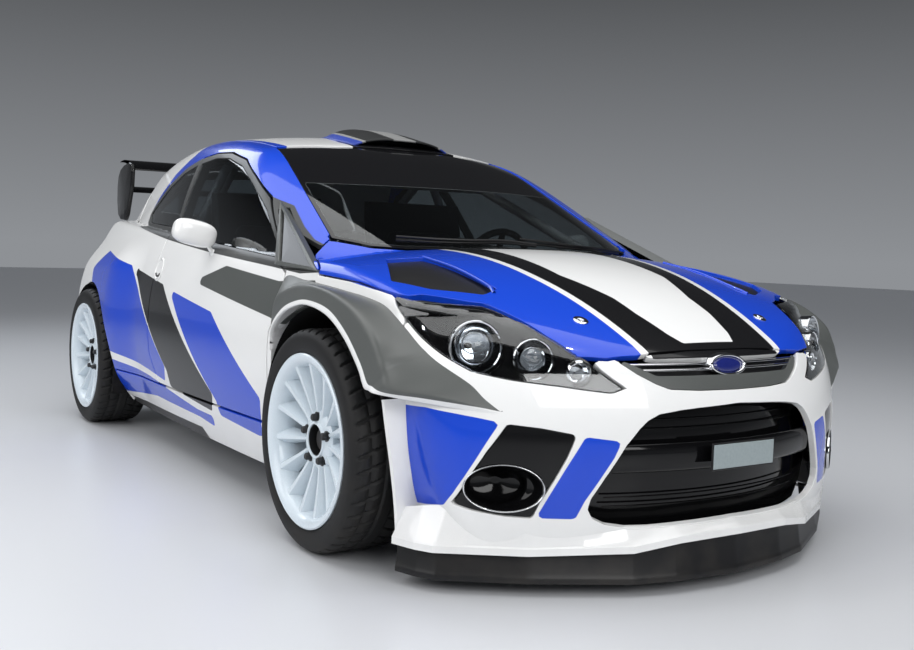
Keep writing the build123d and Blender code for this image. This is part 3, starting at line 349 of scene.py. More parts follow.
# Paint fields; a field is drawn where its distance is below 0 and its corners are rounded
FIELD_ROUND = 0.014
SIDE_BLUE = (
    ((-0.180, 0.688), (0.286, 0.632), (0.696, 0.377), (0.660, 0.247), (0.629, 0.243), (0.320, 0.266),
     (0.300, 0.319)),
    ((-1.232, 0.825), (-0.753, 0.768), (-0.228, 0.383), (-0.256, 0.321), (-0.472, 0.345), (-0.957, 0.379),
     (-1.121, 0.601), (-1.333, 0.664), (-1.364, 0.737), (-1.292, 0.780)),
    ((-1.014, 0.347), (-0.471, 0.318), (0.229, 0.237), (0.224, 0.223), (-0.427, 0.238), (-0.930, 0.197)),
    ((1.60, 0.753), (1.422, 0.753), (1.344, 0.758), (1.195, 0.776), (1.021, 0.794), (0.95, 0.815),
     (0.76, 0.880), (0.52, 0.990), (0.42, 1.030), (0.23, 1.108), (0.04, 1.176), (-0.18, 1.216),
     (-0.45, 1.226), (-0.585, 1.210), (-0.765, 1.180), (-0.945, 1.112), (-1.10, 1.005), (-1.06, 1.080),
     (-0.95, 1.185), (-0.77, 1.262), (-0.60, 1.50), (1.60, 1.50)),
)
SIDE_BLACK = (
    ((-0.687, 0.754), (-0.281, 0.705), (0.277, 0.337), (0.241, 0.270), (-0.195, 0.306), (-0.208, 0.368),
     (-0.680, 0.734)),
)
SIDE_GREY = (
    ((0.336, 0.796), (0.776, 0.760), (1.02, 0.772), (1.00, 0.60), (0.762, 0.645), (0.108, 0.725),
     (0.141, 0.750)),
)
WINDOW_FRAME = ((1.012, 0.795), (0.90, 0.788), (0.70, 0.803), (0.10, 0.842), (-0.425, 0.884), (-1.02, 0.940),
                (-1.085, 0.962), (-1.105, 1.005), (-1.08, 1.036), (-0.945, 1.140), (-0.770, 1.206),
                (-0.590, 1.234), (-0.350, 1.248), (-0.170, 1.239), (0.045, 1.195), (0.225, 1.121),
                (0.408, 1.046), (0.520, 1.010), (0.657, 0.936), (0.740, 0.895), (0.850, 0.854), (0.95, 0.820))
BONNET_LINE_OUT = ((0.971, 0.351), (1.43, 0.318), (1.859, 0.267))
BONNET_LINE_IN = ((0.995, 0.325), (1.43, 0.292), (1.865, 0.240))
BONNET_WHITE_X, NOSE_STRIP_Z = 1.828, 0.6055
CENTRE_HALF = ((1.0, 0.21), (1.43, 0.208), (1.60, 0.150), (1.69, 0.143), (1.79, 0.117), (1.825, 0.098))
# Points of the photograph's blue corners on the nose, as (x, y, z); they turn into (angle, height) outlines
NOSE_BLUE = (
    ((1.521, -0.791, 0.472), (1.614, -0.777, 0.476), (1.673, -0.737, 0.468), (1.717, -0.689, 0.459),
     (1.754, -0.642, 0.449), (1.740, -0.667, 0.404), (1.722, -0.691, 0.353), (1.703, -0.710, 0.309),
     (1.675, -0.725, 0.262), (1.641, -0.729, 0.226), (1.565, -0.732, 0.212), (1.505, -0.733, 0.205),
     (1.524, -0.765, 0.302)),
    ((1.865, -0.457, 0.417), (1.901, -0.369, 0.405), (1.896, -0.387, 0.364), (1.879, -0.421, 0.304),
     (1.862, -0.450, 0.253), (1.847, -0.467, 0.206), (1.825, -0.513, 0.207), (1.800, -0.556, 0.208),
     (1.822, -0.532, 0.268), (1.846, -0.498, 0.342)),
)


def around_nose(x, y):
    """Place round the nose: angle about an upright line at x 1.2, times 0.6 to give metres."""
    return np.arctan2(np.abs(y), x - 1.2) * 0.6


def fields(points, kind):
    """Distances of the blue, black, grey and frame fields at points of a panel of that kind."""
    x, y, z = points[:, 0], -np.abs(points[:, 1]), points[:, 2]
    found = {key: np.full(len(x), 1.0) for key in ("blue", "black", "grey", "frame")}
    if kind == "side":
        for key, outlines in (("blue", SIDE_BLUE), ("black", SIDE_BLACK), ("grey", SIDE_GREY)):
            for outline in outlines:
                found[key] = np.minimum(found[key], soft_distance(x, z, outline, FIELD_ROUND))
        found["blue"] = np.minimum(found["blue"], outline_distance(x, z, SIDE_BLUE[3]))
        found["frame"] = outline_distance(x, z, WINDOW_FRAME)
    elif kind == "bonnet":
        line_out = np.interp(x, *np.transpose(BONNET_LINE_OUT))
        line_in = np.interp(x, *np.transpose(BONNET_LINE_IN))
        centre = np.interp(x, *np.transpose(CENTRE_HALF))
        found["black"] = np.maximum(-y - line_in, -np.maximum(-y - centre, x - BONNET_WHITE_X))
        found["blue"] = line_out + y
    elif kind == "nose":
        place_round = around_nose(x, y)
        for outline in NOSE_BLUE:
            outline = np.array([(around_nose(px, py), pz) for px, py, pz in outline])
            found["blue"] = np.minimum(found["blue"], soft_distance(place_round, z, outline, 0.010))
        found["black"] = np.maximum(-y - 0.240, NOSE_STRIP_Z - z)
        found["blue"] = np.minimum(found["blue"], np.max([0.267 + y, NOSE_STRIP_Z - z, -y - 0.36], 0))
    elif kind == "screen":
        found["black"] = np.minimum(1.098 - z, -0.016 - d_plan(SCREEN)(points))
    elif kind == "roof":
        found["black"] = np.maximum(np.abs(y) - 0.235, -0.02 - x)
        found["blue"] = np.where(x < 0.1, 0.475 - np.abs(y), 0.02)
    return found


# Mesh tools

def trim(points, triangles, distance):
    """Part of a triangle mesh where distance is below 0, cut along straight lines between its corners."""
    inside = distance < 0
    count = inside[triangles].sum(1)
    pieces, edges = [triangles[count == 3]], []
    for wanted, first_inside in ((1, True), (2, False)):
        mixed = triangles[count == wanted]
        odd = np.argmax(inside[mixed] == first_inside, 1)
        rows = np.arange(len(mixed))
        a, b, c = (mixed[rows, (odd + k) % 3] for k in range(3))
        edges.append((a, b, c, wanted))
    pairs = np.concatenate([np.stack([a, other], 1) for a, b, c, _ in edges for other in (b, c)])
    unique, where = np.unique(np.sort(pairs, 1), axis=0, return_inverse=True)
    where = where.ravel() + len(points)
    d0, d1 = distance[unique[:, 0]], distance[unique[:, 1]]
    share = (d0 / (d0 - d1))[:, None]
    points = np.concatenate([points, points[unique[:, 0]] * (1 - share) + points[unique[:, 1]] * share])
    at = 0
    for a, b, c, wanted in edges:
        ab, ac = where[at:at + len(a)], where[at + len(a):at + 2 * len(a)]
        at += 2 * len(a)
        if wanted == 1:
            pieces.append(np.stack([a, ab, ac], 1))
        else:
            pieces += [np.stack([ab, b, c], 1), np.stack([ab, c, ac], 1)]
    used, triangles = np.unique(np.concatenate(pieces), return_inverse=True)
    return points[used], triangles.reshape(-1, 3)


def border(triangles, count):
    """Directed edges that only one triangle has."""
    directed = np.concatenate([triangles[:, [0, 1]], triangles[:, [1, 2]], triangles[:, [2, 0]]])
    code = directed[:, 0].astype(np.int64) * count + directed[:, 1]
    back = directed[:, 1].astype(np.int64) * count + directed[:, 0]
    return directed[~np.isin(code, back)]


def thicken(points, triangles, normals, outward, wall, rounding):
    """Sheet given a wall and rounded edges; outward holds the in-surface direction off the edge."""
    edges = border(triangles, len(points))
    rim = np.unique(edges)
    place_in_rim = np.full(len(points), -1)
    place_in_rim[rim] = np.arange(len(rim))
    p, n, e = points[rim], normals[rim], outward[rim]
    low = points - normals * wall
    low[rim] += e * rounding
    turn = math.sqrt(0.5)
    rings = [(p + e * rounding * turn - n * rounding * (1 - turn), unit(n + e)),
             (p + e * rounding - n * rounding, e), (p + e * rounding - n * wall, e)]
    all_points = np.concatenate([points] + [ring for ring, _ in rings] + [low])
    all_normals = np.concatenate([normals] + [direction for _, direction in rings] + [-normals])
    strips = []
    upper = (edges[:, 0], edges[:, 1])
    for ring in range(3):
        lower = [place_in_rim[edges[:, k]] + len(points) + ring * len(rim) for k in range(2)]
        strips.append(np.stack([upper[1], upper[0], lower[0]], 1))
        strips.append(np.stack([upper[1], lower[0], lower[1]], 1))
        upper = lower
    inner = triangles[:, ::-1] + len(points) + 3 * len(rim)
    return all_points, np.concatenate([triangles] + strips + [inner]), all_normals


def new_mesh(name, points, faces, material, normals=None, attributes=None):
    """Mesh object at the origin from arrays of points and of triangles or quads."""
    mesh = bpy.data.meshes.new(name)
    corners = faces.shape[1]
    mesh.vertices.add(len(points))
    mesh.vertices.foreach_set("co", np.asarray(points, np.float32).ravel())
    mesh.loops.add(faces.size)
    mesh.loops.foreach_set("vertex_index", faces.astype(np.int32).ravel())
    mesh.polygons.add(len(faces))
    mesh.polygons.foreach_set("loop_start", np.arange(0, faces.size, corners, dtype=np.int32))
    mesh.update(calc_edges=True)
    mesh.polygons.foreach_set("use_smooth", np.full(len(faces), True))
    for key, values in (attributes or {}).items():
        mesh.attributes.new(key, "FLOAT", "POINT").data.foreach_set("value", np.asarray(values, np.float32))
    if normals is not None:
        mesh.normals_split_custom_set_from_vertices(normals.tolist())
    mesh.materials.append(material)
    made = bpy.data.objects.new(name, mesh)
    bpy.context.scene.collection.objects.link(made)
    return made


def flipped(points):
    """Mirror image across y = 0."""
    return points * np.array((1, -1, 1.0))


def place(name, points, faces, material, body_name, slot, replaced=(), normals=None, attributes=None):
    made = new_mesh(name, points, faces, material, normals, attributes)
    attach(made, body_name)
    if replaced:
        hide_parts(*replaced)
    return made


def side_pair(name, points, faces, material, bodies, slot, replaced=(), normals=None, attributes=None,
              sharp=0):
    """A right-hand piece (y below 0) and its mirror image; bodies and replaced name the right-hand ones."""
    twin = {n: n.replace("_right", "_left") for n in (bodies, *replaced)}
    pair = [place(name + "_right", points, faces, material, bodies, slot, replaced, normals, attributes),
            place(name + "_left", flipped(points), faces[:, ::-1], material, twin[bodies], slot,
                  [twin[n] for n in replaced if twin[n] != n],
                  None if normals is None else flipped(normals), attributes)]
    if sharp:
        for made in pair:
            sharpen(made, sharp)
    return pair


def sharpen(obj, degrees=32):
    """Shades edges that bend by more than an angle as sharp ones."""
    obj.data.set_sharp_from_angle(angle=math.radians(degrees))
    return obj


ZONES = {}
ZONE_GRIDS = {"side": side_zone, "bonnet": bonnet_zone, "top": top_zone, "nose": nose_zone, "tail": tail_zone,
              "hatch": hatch_zone}


def zone(name):
    """Named grid of outer-surface points and its triangles, made once."""
    if name not in ZONES:
        grid = ZONE_GRIDS[name]()
        points = grid.reshape(-1, 3)
        triangles = grid_triangles(*grid.shape[:2])
        corner = points[triangles]
        facing = np.cross(corner[:, 1] - corner[:, 0], corner[:, 2] - corner[:, 0])
        if (facing * body_normal(corner.mean(1))).sum() < 0:
            triangles = triangles[:, ::-1]
        ZONES[name] = (points, triangles)
    return ZONES[name]


def panel(zone_name, keep, wall=PANEL_WALL, sink=0.0, kind=None, gap=SHUT_LINE / 2 + EDGE_ROUND,
          rounding=EDGE_ROUND):
    """Skin panel: a zone trimmed by a distance, sunk and thickened; returns mesh and paint fields."""
    points, triangles = zone(zone_name)
    points, triangles = trim(points, triangles, keep(points) + gap)
    normals = body_normal(points)
    rough = slope_of(keep, points, 0.003)
    outward = unit(rough - normals * (rough * normals).sum(1, keepdims=True))
    points, faces, normals = thicken(points - normals * sink, triangles, normals, outward, wall, rounding)
    return points, faces, normals, fields(points, kind) if kind else {}


def d_side(outline):
    return lambda p: outline_distance(p[:, 0], p[:, 2], outline)


def d_plan(outline):
    return lambda p: outline_distance(p[:, 0], p[:, 1], outline)


def d_front(outline):
    return lambda p: outline_distance(p[:, 1], p[:, 2], outline)


def out_of(*cutters):
    """Distance of the space outside every cutter."""
    return lambda p: np.max([-cut(p) for cut in cutters], 0)


def all_of(*keeps):
    """Distance of the space that every part has in common."""
    return lambda p: np.max([keep(p) for keep in keeps], 0)


def any_of(*keeps):
    """Distance of the parts taken together."""
    return lambda p: np.min([keep(p) for keep in keeps], 0)


def above(axis, value):
    return lambda p: value - p[:, axis]


def below(axis, value):
    return lambda p: p[:, axis] - value


def off_middle(value):
    return lambda p: value - np.abs(p[:, Y])


def near_middle(value):
    return lambda p: np.abs(p[:, Y]) - value


def arch_distance(p):
    """Rear wheel opening."""
    return np.maximum(np.hypot(p[:, 0] - REAR_AXLE_X, p[:, 2] - 0.265) - 0.405, 0.4 - np.abs(p[:, 1]))


def above_skirt(p):
    """Below 0 above the bonnet's side line."""
    return np.interp(p[:, 0], *np.transpose(SKIRT)) - p[:, 2]


def bonnet_space(p):
    return np.maximum(d_plan(BONNET)(p), above_skirt(p))


# Shader effects shared by several materials

def node(tree, kind, inputs=None, **settings):
    """New shader node; inputs maps socket names or numbers to values or to other sockets."""
    made = tree.nodes.new("ShaderNode" + kind)
    for key, value in settings.items():
        setattr(made, key, value)
    for key, value in (inputs or {}).items():
        if isinstance(value, bpy.types.NodeSocket):
            tree.links.new(value, made.inputs[key])
        else:
            made.inputs[key].default_value = value
    return made


def calc(tree, operation, first, second=0.0, clamp=False):
    return node(tree, "Math", {0: first, 1: second}, operation=operation, use_clamp=clamp).outputs[0]


def mix(tree, factor, first, second):
    """Colour between two colours."""
    return node(tree, "Mix", {0: factor, 6: first, 7: second}, data_type="RGBA").outputs[2]


def linked(shader, name):
    """What feeds a socket of the shader."""
    return shader.inputs[name].links[0].from_socket


def effect(name, inputs, outputs, fill):
    """Shader node group; fill(tree, given) returns its output sockets by name."""
    tree = bpy.data.node_groups.new(name, "ShaderNodeTree")
    for key, (kind, value) in inputs.items():
        made = tree.interface.new_socket(key, in_out="INPUT", socket_type="NodeSocket" + kind)
        made.default_value = value
    for key, kind in outputs.items():
        tree.interface.new_socket(key, in_out="OUTPUT", socket_type="NodeSocket" + kind)
    given = tree.nodes.new("NodeGroupInput").outputs
    result = tree.nodes.new("NodeGroupOutput")
    for key, socket in fill(tree, given).items():
        tree.links.new(socket, result.inputs[key])
    return tree


def fill_grain(tree, given):
    where = node(tree, "TexCoord").outputs["Object"]
    noise = node(tree, "TexNoise", {"Vector": where, "Scale": given["Scale"], "Detail": 4.0}).outputs[0]
    bump = node(tree, "Bump", {"Strength": given["Strength"], "Distance": given["Depth"], "Height": noise})
    return {"Normal": bump.outputs[0], "Value": noise}


def fill_field(tree, given):
    mask = node(tree, "MapRange", {"Value": given["Distance"], "From Min": given["Softness"],
                                   "From Max": calc(tree, "MULTIPLY", given["Softness"], -1.0)})
    return {"Mask": mask.outputs[0]}


def fill_dust(tree, given):
    where = node(tree, "TexCoord").outputs["Object"]
    height = node(tree, "SeparateXYZ", {0: where}).outputs[2]
    low = node(tree, "MapRange", {"Value": height, "From Min": given["Top"], "From Max": 0.02}).outputs[0]
    noise = node(tree, "TexNoise", {"Vector": where, "Scale": 9.0, "Detail": 7.0}).outputs[0]
    spots = node(tree, "MapRange", {"Value": noise, "From Min": 0.42, "From Max": 0.70}).outputs[0]
    return {"Mask": calc(tree, "MULTIPLY", calc(tree, "MULTIPLY", low, spots), given["Amount"], True)}


GRAIN = effect("surface_grain",
               {"Scale": ("Float", 60.0), "Strength": ("Float", 0.1), "Depth": ("Float", 0.001)},
               {"Normal": "Vector", "Value": "Float"}, fill_grain)
FIELD = effect("paint_field", {"Distance": ("Float", 1.0), "Softness": ("Float", 0.0007)},
               {"Mask": "Float"}, fill_field)
DUST = effect("road_dust", {"Top": ("Float", 0.5), "Amount": ("Float", 0.1)}, {"Mask": "Float"}, fill_dust)


def use(tree, group, inputs=None):
    """Outputs of a new node that holds a group."""
    return node(tree, "Group", inputs, node_tree=group).outputs


def painted_mask(tree, key, shift=0.0):
    """1 where a distance attribute is below a value, 0 beyond it."""
    distance = node(tree, "Attribute", attribute_name=key).outputs["Fac"]
    if shift:
        distance = calc(tree, "SUBTRACT", distance, shift)
    return use(tree, FIELD, {"Distance": distance})["Mask"]


def color4(rgb):
    return (*rgb, 1.0)


DUST_COLOR = color4((0.21, 0.18, 0.145))


def material(name, rgb, roughness, grain=(80.0, 0.06, 0.001), spread=0.08, dust=0.0, tint=0.12, **sockets):
    """Material with a noise-driven tint and roughness, grain and road dust; sockets are shader values."""
    made = bpy.data.materials.new(name)
    made.use_nodes = True
    tree = made.node_tree
    shader = tree.nodes["Principled BSDF"]
    surface = use(tree, GRAIN, {"Scale": grain[0], "Strength": grain[1], "Depth": grain[2]})
    base = mix(tree, surface["Value"], *(color4([c * share for c in rgb]) for share in (1 - tint, 1 + tint)))
    rough = calc(tree, "ADD", calc(tree, "MULTIPLY", surface["Value"], spread), roughness - spread / 2)
    if dust:
        mask = use(tree, DUST, {"Top": 0.55, "Amount": dust})["Mask"]
        base = mix(tree, mask, base, DUST_COLOR)
        rough = calc(tree, "ADD", rough, calc(tree, "MULTIPLY", mask, 0.4), True)
    tree.links.new(base, shader.inputs["Base Color"])
    tree.links.new(rough, shader.inputs["Roughness"])
    tree.links.new(surface["Normal"], shader.inputs["Normal"])
    for key, value in sockets.items():
        shader.inputs[key.replace("_", " ")].default_value = value
    return made


BLUE = (0.008, 0.062, 0.60)
WHITE = (0.86, 0.86, 0.85)
BLACK = (0.008, 0.008, 0.009)
GREY = (0.088, 0.094, 0.090)
FRAME_GREY = (0.060, 0.062, 0.062)
LIVERY_COAT = 0.65


def livery_material(name, ground):
    """Clear-coated paint: ground colour with the blue, black and grey fields of the panel's attributes."""
    made = material(name, ground, 0.22, grain=(900.0, 0.012, 0.0003), spread=0.04, dust=0.05, tint=0.02,
                    Coat_Weight=0.9, Coat_Roughness=0.03, Specular_IOR_Level=0.15)
    tree = made.node_tree
    shader = tree.nodes["Principled BSDF"]
    base, rough, coat = linked(shader, "Base Color"), linked(shader, "Roughness"), LIVERY_COAT
    for key, rgb, rougher, less_coat in (("grey", GREY, 0.16, 0.55), ("blue", BLUE, 0, 0),
                                         ("black", BLACK, 0, 0.35), ("frame", FRAME_GREY, 0.16, 0.55)):
        mask = painted_mask(tree, key)
        base = mix(tree, mask, base, color4(rgb))
        if rougher:
            rough = calc(tree, "ADD", rough, calc(tree, "MULTIPLY", mask, rougher))
        if less_coat:
            coat = calc(tree, "SUBTRACT", coat, calc(tree, "MULTIPLY", mask, less_coat), True)
    tree.links.new(base, shader.inputs["Base Color"])
    tree.links.new(rough, shader.inputs["Roughness"])
    tree.links.new(coat, shader.inputs["Coat Weight"])
    return made


PAINT = livery_material("livery_paint", WHITE)
FLARE = material("flare_grey_satin", GREY, 0.42, grain=(700.0, 0.02, 0.0003), spread=0.03, dust=0.08,
                 Coat_Weight=0.15, Coat_Roughness=0.35)
BLUE_PAINT = material("blue_paint", BLUE, 0.25, grain=(900.0, 0.012, 0.0004), tint=0.04, Coat_Weight=0.9,
                      Coat_Roughness=0.03)
WHITE_PAINT = material("white_paint", WHITE, 0.25, grain=(900.0, 0.012, 0.0004), tint=0.02, dust=0.1,
                       Coat_Weight=0.9, Coat_Roughness=0.03)
GLOSS_BLACK = material("gloss_black", (0.004, 0.004, 0.0045), 0.10, grain=(300.0, 0.01, 0.0003), tint=0.1,
                       Specular_IOR_Level=0.32)
SATIN_BLACK = material("satin_black_composite", (0.009, 0.009, 0.010), 0.38, grain=(420.0, 0.10, 0.0004),
                       dust=0.08, Specular_IOR_Level=0.35)
LINER = material("arch_liner", (0.006, 0.006, 0.006), 0.80, grain=(160.0, 0.35, 0.002), dust=0.12,
                 Specular_IOR_Level=0.2)
CHROME = material("chrome", (0.82, 0.83, 0.85), 0.07, grain=(200.0, 0.01, 0.0004), spread=0.04, Metallic=1.0)
LAMP_HOUSING = material("lamp_housing", (0.02, 0.02, 0.022), 0.25, grain=(250.0, 0.05, 0.0006))
REFLECTOR = material("lamp_reflector", (0.75, 0.77, 0.80), 0.10, grain=(140.0, 0.05, 0.001), Metallic=1.0)
PLATE = material("blank_plate", (0.30, 0.35, 0.36), 0.35, grain=(120.0, 0.08, 0.0006))
RUBBER = material("tyre_rubber", (0.009, 0.009, 0.0095), 0.60, grain=(260.0, 0.25, 0.0006), dust=0.06,
                  Specular_IOR_Level=0.35)
# White wheel paint with painted shade: the bluish shade of the spokes is mixed into its colour, which is bluer
# and darker than white.
RIM_WHITE_BLUE_SHADE = material("wheel_white", (0.70, 0.78, 0.84), 0.26, grain=(500.0, 0.02, 0.0004), dust=0.05,
                     Coat_Weight=0.5)
DARK_METAL = material("dark_metal", (0.05, 0.05, 0.052), 0.42, grain=(220.0, 0.12, 0.0008), Metallic=0.8)
DISC = material("disc_steel", (0.42, 0.42, 0.43), 0.32, grain=(300.0, 0.12, 0.0006), Metallic=1.0)
CAGE = material("cage_paint", (0.62, 0.63, 0.65), 0.34, grain=(400.0, 0.04, 0.0005), Coat_Weight=0.3)
PLASTIC = material("cabin_plastic", (0.028, 0.028, 0.030), 0.58, grain=(320.0, 0.22, 0.0008))
FABRIC = material("seat_fabric", (0.018, 0.020, 0.030), 0.92, grain=(700.0, 0.55, 0.001), tint=0.25,
                  Sheen_Weight=0.3)
FLOOR_PAINT = material("floor_paint", (0.30, 0.31, 0.33), 0.45, grain=(150.0, 0.12, 0.001), dust=0.4)
STEEL = material("exhaust_steel", (0.42, 0.38, 0.34), 0.34, grain=(90.0, 0.15, 0.001), tint=0.3, Metallic=1.0)
ALLOY = material("engine_alloy", (0.34, 0.34, 0.35), 0.45, grain=(130.0, 0.35, 0.001), Metallic=0.9)
ARM_PAINT = material("suspension_paint", (0.035, 0.035, 0.038), 0.45, grain=(200.0, 0.15, 0.0008), dust=0.5)
RED_LENS = material("tail_lamp_red", (0.42, 0.010, 0.012), 0.12, grain=(180.0, 0.03, 0.0006), Coat_Weight=1.0)


def glass_material(name, rgb):
    return material(name, rgb, 0.01, grain=(30.0, 0.004, 0.0004), spread=0.01, tint=0.02,
                    Transmission_Weight=1.0, IOR=1.45)


def screen_material():
    """Tinted glass that turns into opaque black where the panel's dark field is below 0."""
    made = glass_material("windscreen_glass", (0.42, 0.46, 0.47))
    tree = made.node_tree
    shader = tree.nodes["Principled BSDF"]
    mask = painted_mask(tree, "black")
    tree.links.new(mix(tree, mask, linked(shader, "Base Color"), color4(BLACK)), shader.inputs["Base Color"])
    tree.links.new(calc(tree, "SUBTRACT", 1.0, mask), shader.inputs["Transmission Weight"])
    return made


WINDOW = glass_material("window_glass", (0.30, 0.34, 0.36))
LENS = glass_material("lamp_lens", (0.95, 0.97, 0.98))
SCREEN_GLASS = screen_material()


# Body panels

def sill_bottom(p):
    """Below 0 above the sill's lower edge, which steps down towards the front."""
    return np.interp(p[:, X], (0.062, 0.098, 0.76), (0.180, 0.142, 0.133)) - p[:, Z]


def vents(p):
    return outline_distance(p[:, X], -np.abs(p[:, Y]), VENT)


def pods(p):
    return soft_distance(-np.abs(p[:, Y]), p[:, Z], FOG_POD, 0.008)


def fog_hole(p):
    """Oval opening in the fog lamp panel."""
    return (np.hypot((np.abs(p[:, Y]) - 0.626) / 0.081, (p[:, Z] - 0.283) / 0.0565) - 1) * 0.06


def tail_pipe_hole(p):
    return np.hypot(p[:, Y] - 0.25, p[:, Z] - 0.292) - 0.046


def grille_lip(p):
    """Below 0 under the upper grille's bars, lower towards the lamps."""
    return p[:, Z] - 0.568 - 0.5 * np.maximum(np.abs(p[:, Y]) - 0.25, 0)


SILL = all_of(below(X, 0.765), above(X, -0.905), below(Z, 0.297))
WING_SIDE = all_of(above(X, 0.740), below(X, 1.5))
REAR_BUMPER = all_of(below(X, -1.64), below(Z, 0.5920))
HEADLAMP_SPACE = all_of(d_side(HEADLAMP), off_middle(0.33))
HATCH_SPACE = all_of(d_front(HATCH), below(X, -1.408))
TAIL_LAMP_SPACE = all_of(d_side(TAIL_LAMP), off_middle(0.652))
ROOF_SPACE = all_of(d_plan(ROOF), above(Z, 1.1))
# Narrow strips beside the roof and the bonnet that no panel of the car has
SLIVERS = any_of(all_of(above(X, -0.05), above(Z, 1.15), near_middle(0.508)),
                 all_of(above(X, 0.748), above(Z, 0.80), near_middle(0.63)))
LAMPS = (((1.655, -0.655, 0.628), 0.067), ((1.748, -0.541, 0.602), 0.051), ((1.812, -0.446, 0.571), 0.034))
LAMP_AXIS = (0.93, -0.36, 0.06)


def lamp_hole(centre, radius):
    """Distance from a tube along the lamp axis, the same on both sides of the car."""
    def distance(p):
        offset = np.stack([p[:, 0], -np.abs(p[:, 1]), p[:, 2]], 1) - centre
        axis = unit(np.array(LAMP_AXIS))
        return np.linalg.norm(offset - (offset @ axis)[:, None] * axis, axis=1) - radius
    return distance


def add_panel_pair(name, slot, body_name, replaced, mat, *args, **settings):
    points, faces, normals, painted = panel(*args, **settings)
    side_pair(name, points, faces, mat, body_name, slot, replaced, normals, painted)


def add_panel(name, slot, body_name, replaced, mat, *args, **settings):
    points, faces, normals, painted = panel(*args, **settings)
    place(name, points, faces, mat, body_name, slot, replaced, normals, painted)


PANE = {"wall": 0.004, "sink": GLASS_SINK, "gap": 0.001, "rounding": 0.0005}
THICK_PANE = {**PANE, "wall": 0.005}
add_panel_pair("door_skin", "body_paint", "door_right", ["door_right"], PAINT, "side",
               all_of(d_side(DOOR), out_of(d_side(DOOR_WINDOW))), wall=DOOR_WALL, kind="side")
add_panel_pair("door_pane", "window_glass", "door_right", ["door_glass_right"], WINDOW, "side",
               d_side(DOOR_WINDOW), **PANE)
add_panel_pair("front_wing_skin", "body_paint", "body", ["front_wing_right"], PAINT, "side",
               all_of(WING_SIDE, below(Z, 0.80), above(Z, 0.15),
                      any_of(below(X, 1.40), below(Z, 0.70), off_middle(0.745)),
                      out_of(d_side(DOOR), bonnet_space, HEADLAMP_SPACE, SILL, d_side(FRONT_ARCH))),
               kind="side")
add_panel_pair("body_side_skin", "body_paint", "body", ["body_side_right"], PAINT, "side",
               all_of(above(Z, 0.15), below(X, 1.05), off_middle(0.35),
                      out_of(d_side(DOOR), SILL, arch_distance, bonnet_space, d_plan(SCREEN), ROOF_SPACE,
                             HATCH_SPACE, REAR_BUMPER, TAIL_LAMP_SPACE, d_side(REAR_QUARTER),
                             d_side(QUARTER_LIGHT), SLIVERS, all_of(above(X, 0.740), below(Z, 0.80)))),
               kind="side")
add_panel_pair("sill_skin", "body_paint", "body", [], PAINT, "side",
               all_of(SILL, sill_bottom, out_of(arch_distance, d_side(FRONT_ARCH))), kind="side", sink=-0.0018)
add_panel_pair("rear_side_pane", "window_glass", "body", [], WINDOW, "side", d_side(REAR_QUARTER), **PANE)
add_panel("bonnet_skin", "body_paint", "bonnet", ["bonnet"], PAINT, "bonnet",
          all_of(bonnet_space, out_of(vents)), kind="bonnet")
add_panel("roof_skin", "body_paint", "body", ["roof_panel"], PAINT, "top", d_plan(ROOF), kind="roof")
add_panel("windscreen", "window_glass", "body", ["fixed_windows"], SCREEN_GLASS, "top", d_plan(SCREEN),
          kind="screen", **THICK_PANE)
add_panel("tailgate_skin", "body_paint", "tailgate", ["tailgate"], PAINT, "hatch",
          all_of(d_front(HATCH), below(X, -1.414), out_of(d_front(REAR_WINDOW))), kind="tail")
add_panel("rear_pane", "window_glass", "tailgate", ["rear_window"], WINDOW, "hatch",
          all_of(d_front(REAR_WINDOW), below(X, -1.414)), **THICK_PANE)
add_panel("front_bumper_skin", "body_paint", "body", ["front_bumper"], PAINT, "nose",
          all_of(above(X, 1.5), above(Z, 0.135), any_of(below(Z, 0.645), off_middle(0.690)),
                 out_of(bonnet_space, HEADLAMP_SPACE, d_front(UPPER_GRILLE), d_front(LOWER_GRILLE), pods,
                        d_side(FRONT_ARCH))), kind="nose")
add_panel("rear_bumper_skin", "body_paint", "body", ["rear_bumper"], PAINT, "tail",
          all_of(REAR_BUMPER, above(Z, 0.16), out_of(arch_distance, tail_pipe_hole)), kind="tail")
add_panel("fog_pod_panels", "grille_plastic", "body", ["fog_pods"], GLOSS_BLACK, "nose",
          all_of(pods, out_of(fog_hole)), sink=0.006, gap=0.0005)
add_panel("upper_grille_back", "grille_plastic", "body", ["grilles"], SATIN_BLACK, "nose",
          all_of(d_front(UPPER_GRILLE), above(Z, 0.560)), sink=0.030, gap=-0.004, wall=0.006)
add_panel("upper_grille_panel", "grille_plastic", "body", [], FLARE, "nose",
          all_of(d_front(UPPER_GRILLE), grille_lip), sink=0.006, gap=0.002, wall=0.02)
add_panel("lower_grille_back", "grille_plastic", "body", [], GLOSS_BLACK, "nose",
          all_of(d_front(LOWER_GRILLE), above(X, 1.55)), sink=0.07, gap=-0.125, wall=0.006)
add_panel("bonnet_vent_mesh", "grille_plastic", "bonnet", [], SATIN_BLACK, "bonnet", vents, sink=0.012,
          gap=-0.003, wall=0.004)
add_panel("headlamp_lenses", "lamp_glass", "body", ["headlamps"], LENS, "nose", HEADLAMP_SPACE, sink=0.001,
          wall=0.003, gap=0.001)
add_panel("headlamp_housings", "lamp_glass", "body", [], GLOSS_BLACK, "nose",
          all_of(HEADLAMP_SPACE, out_of(*[lamp_hole(c, r) for c, r in LAMPS])), sink=0.009, wall=0.050,
          gap=-0.001)
add_panel("headlamp_backs", "lamp_glass", "body", [], LAMP_HOUSING, "nose", HEADLAMP_SPACE, sink=0.075,
          wall=0.004, gap=-0.02)
add_panel_pair("tail_lamp_lens", "tail_lamp_plastic", "body", ["tail_lamps"], RED_LENS, "side",
               all_of(TAIL_LAMP_SPACE, out_of(HATCH_SPACE)), wall=0.02, gap=0.002)


# Lofts and turned pieces

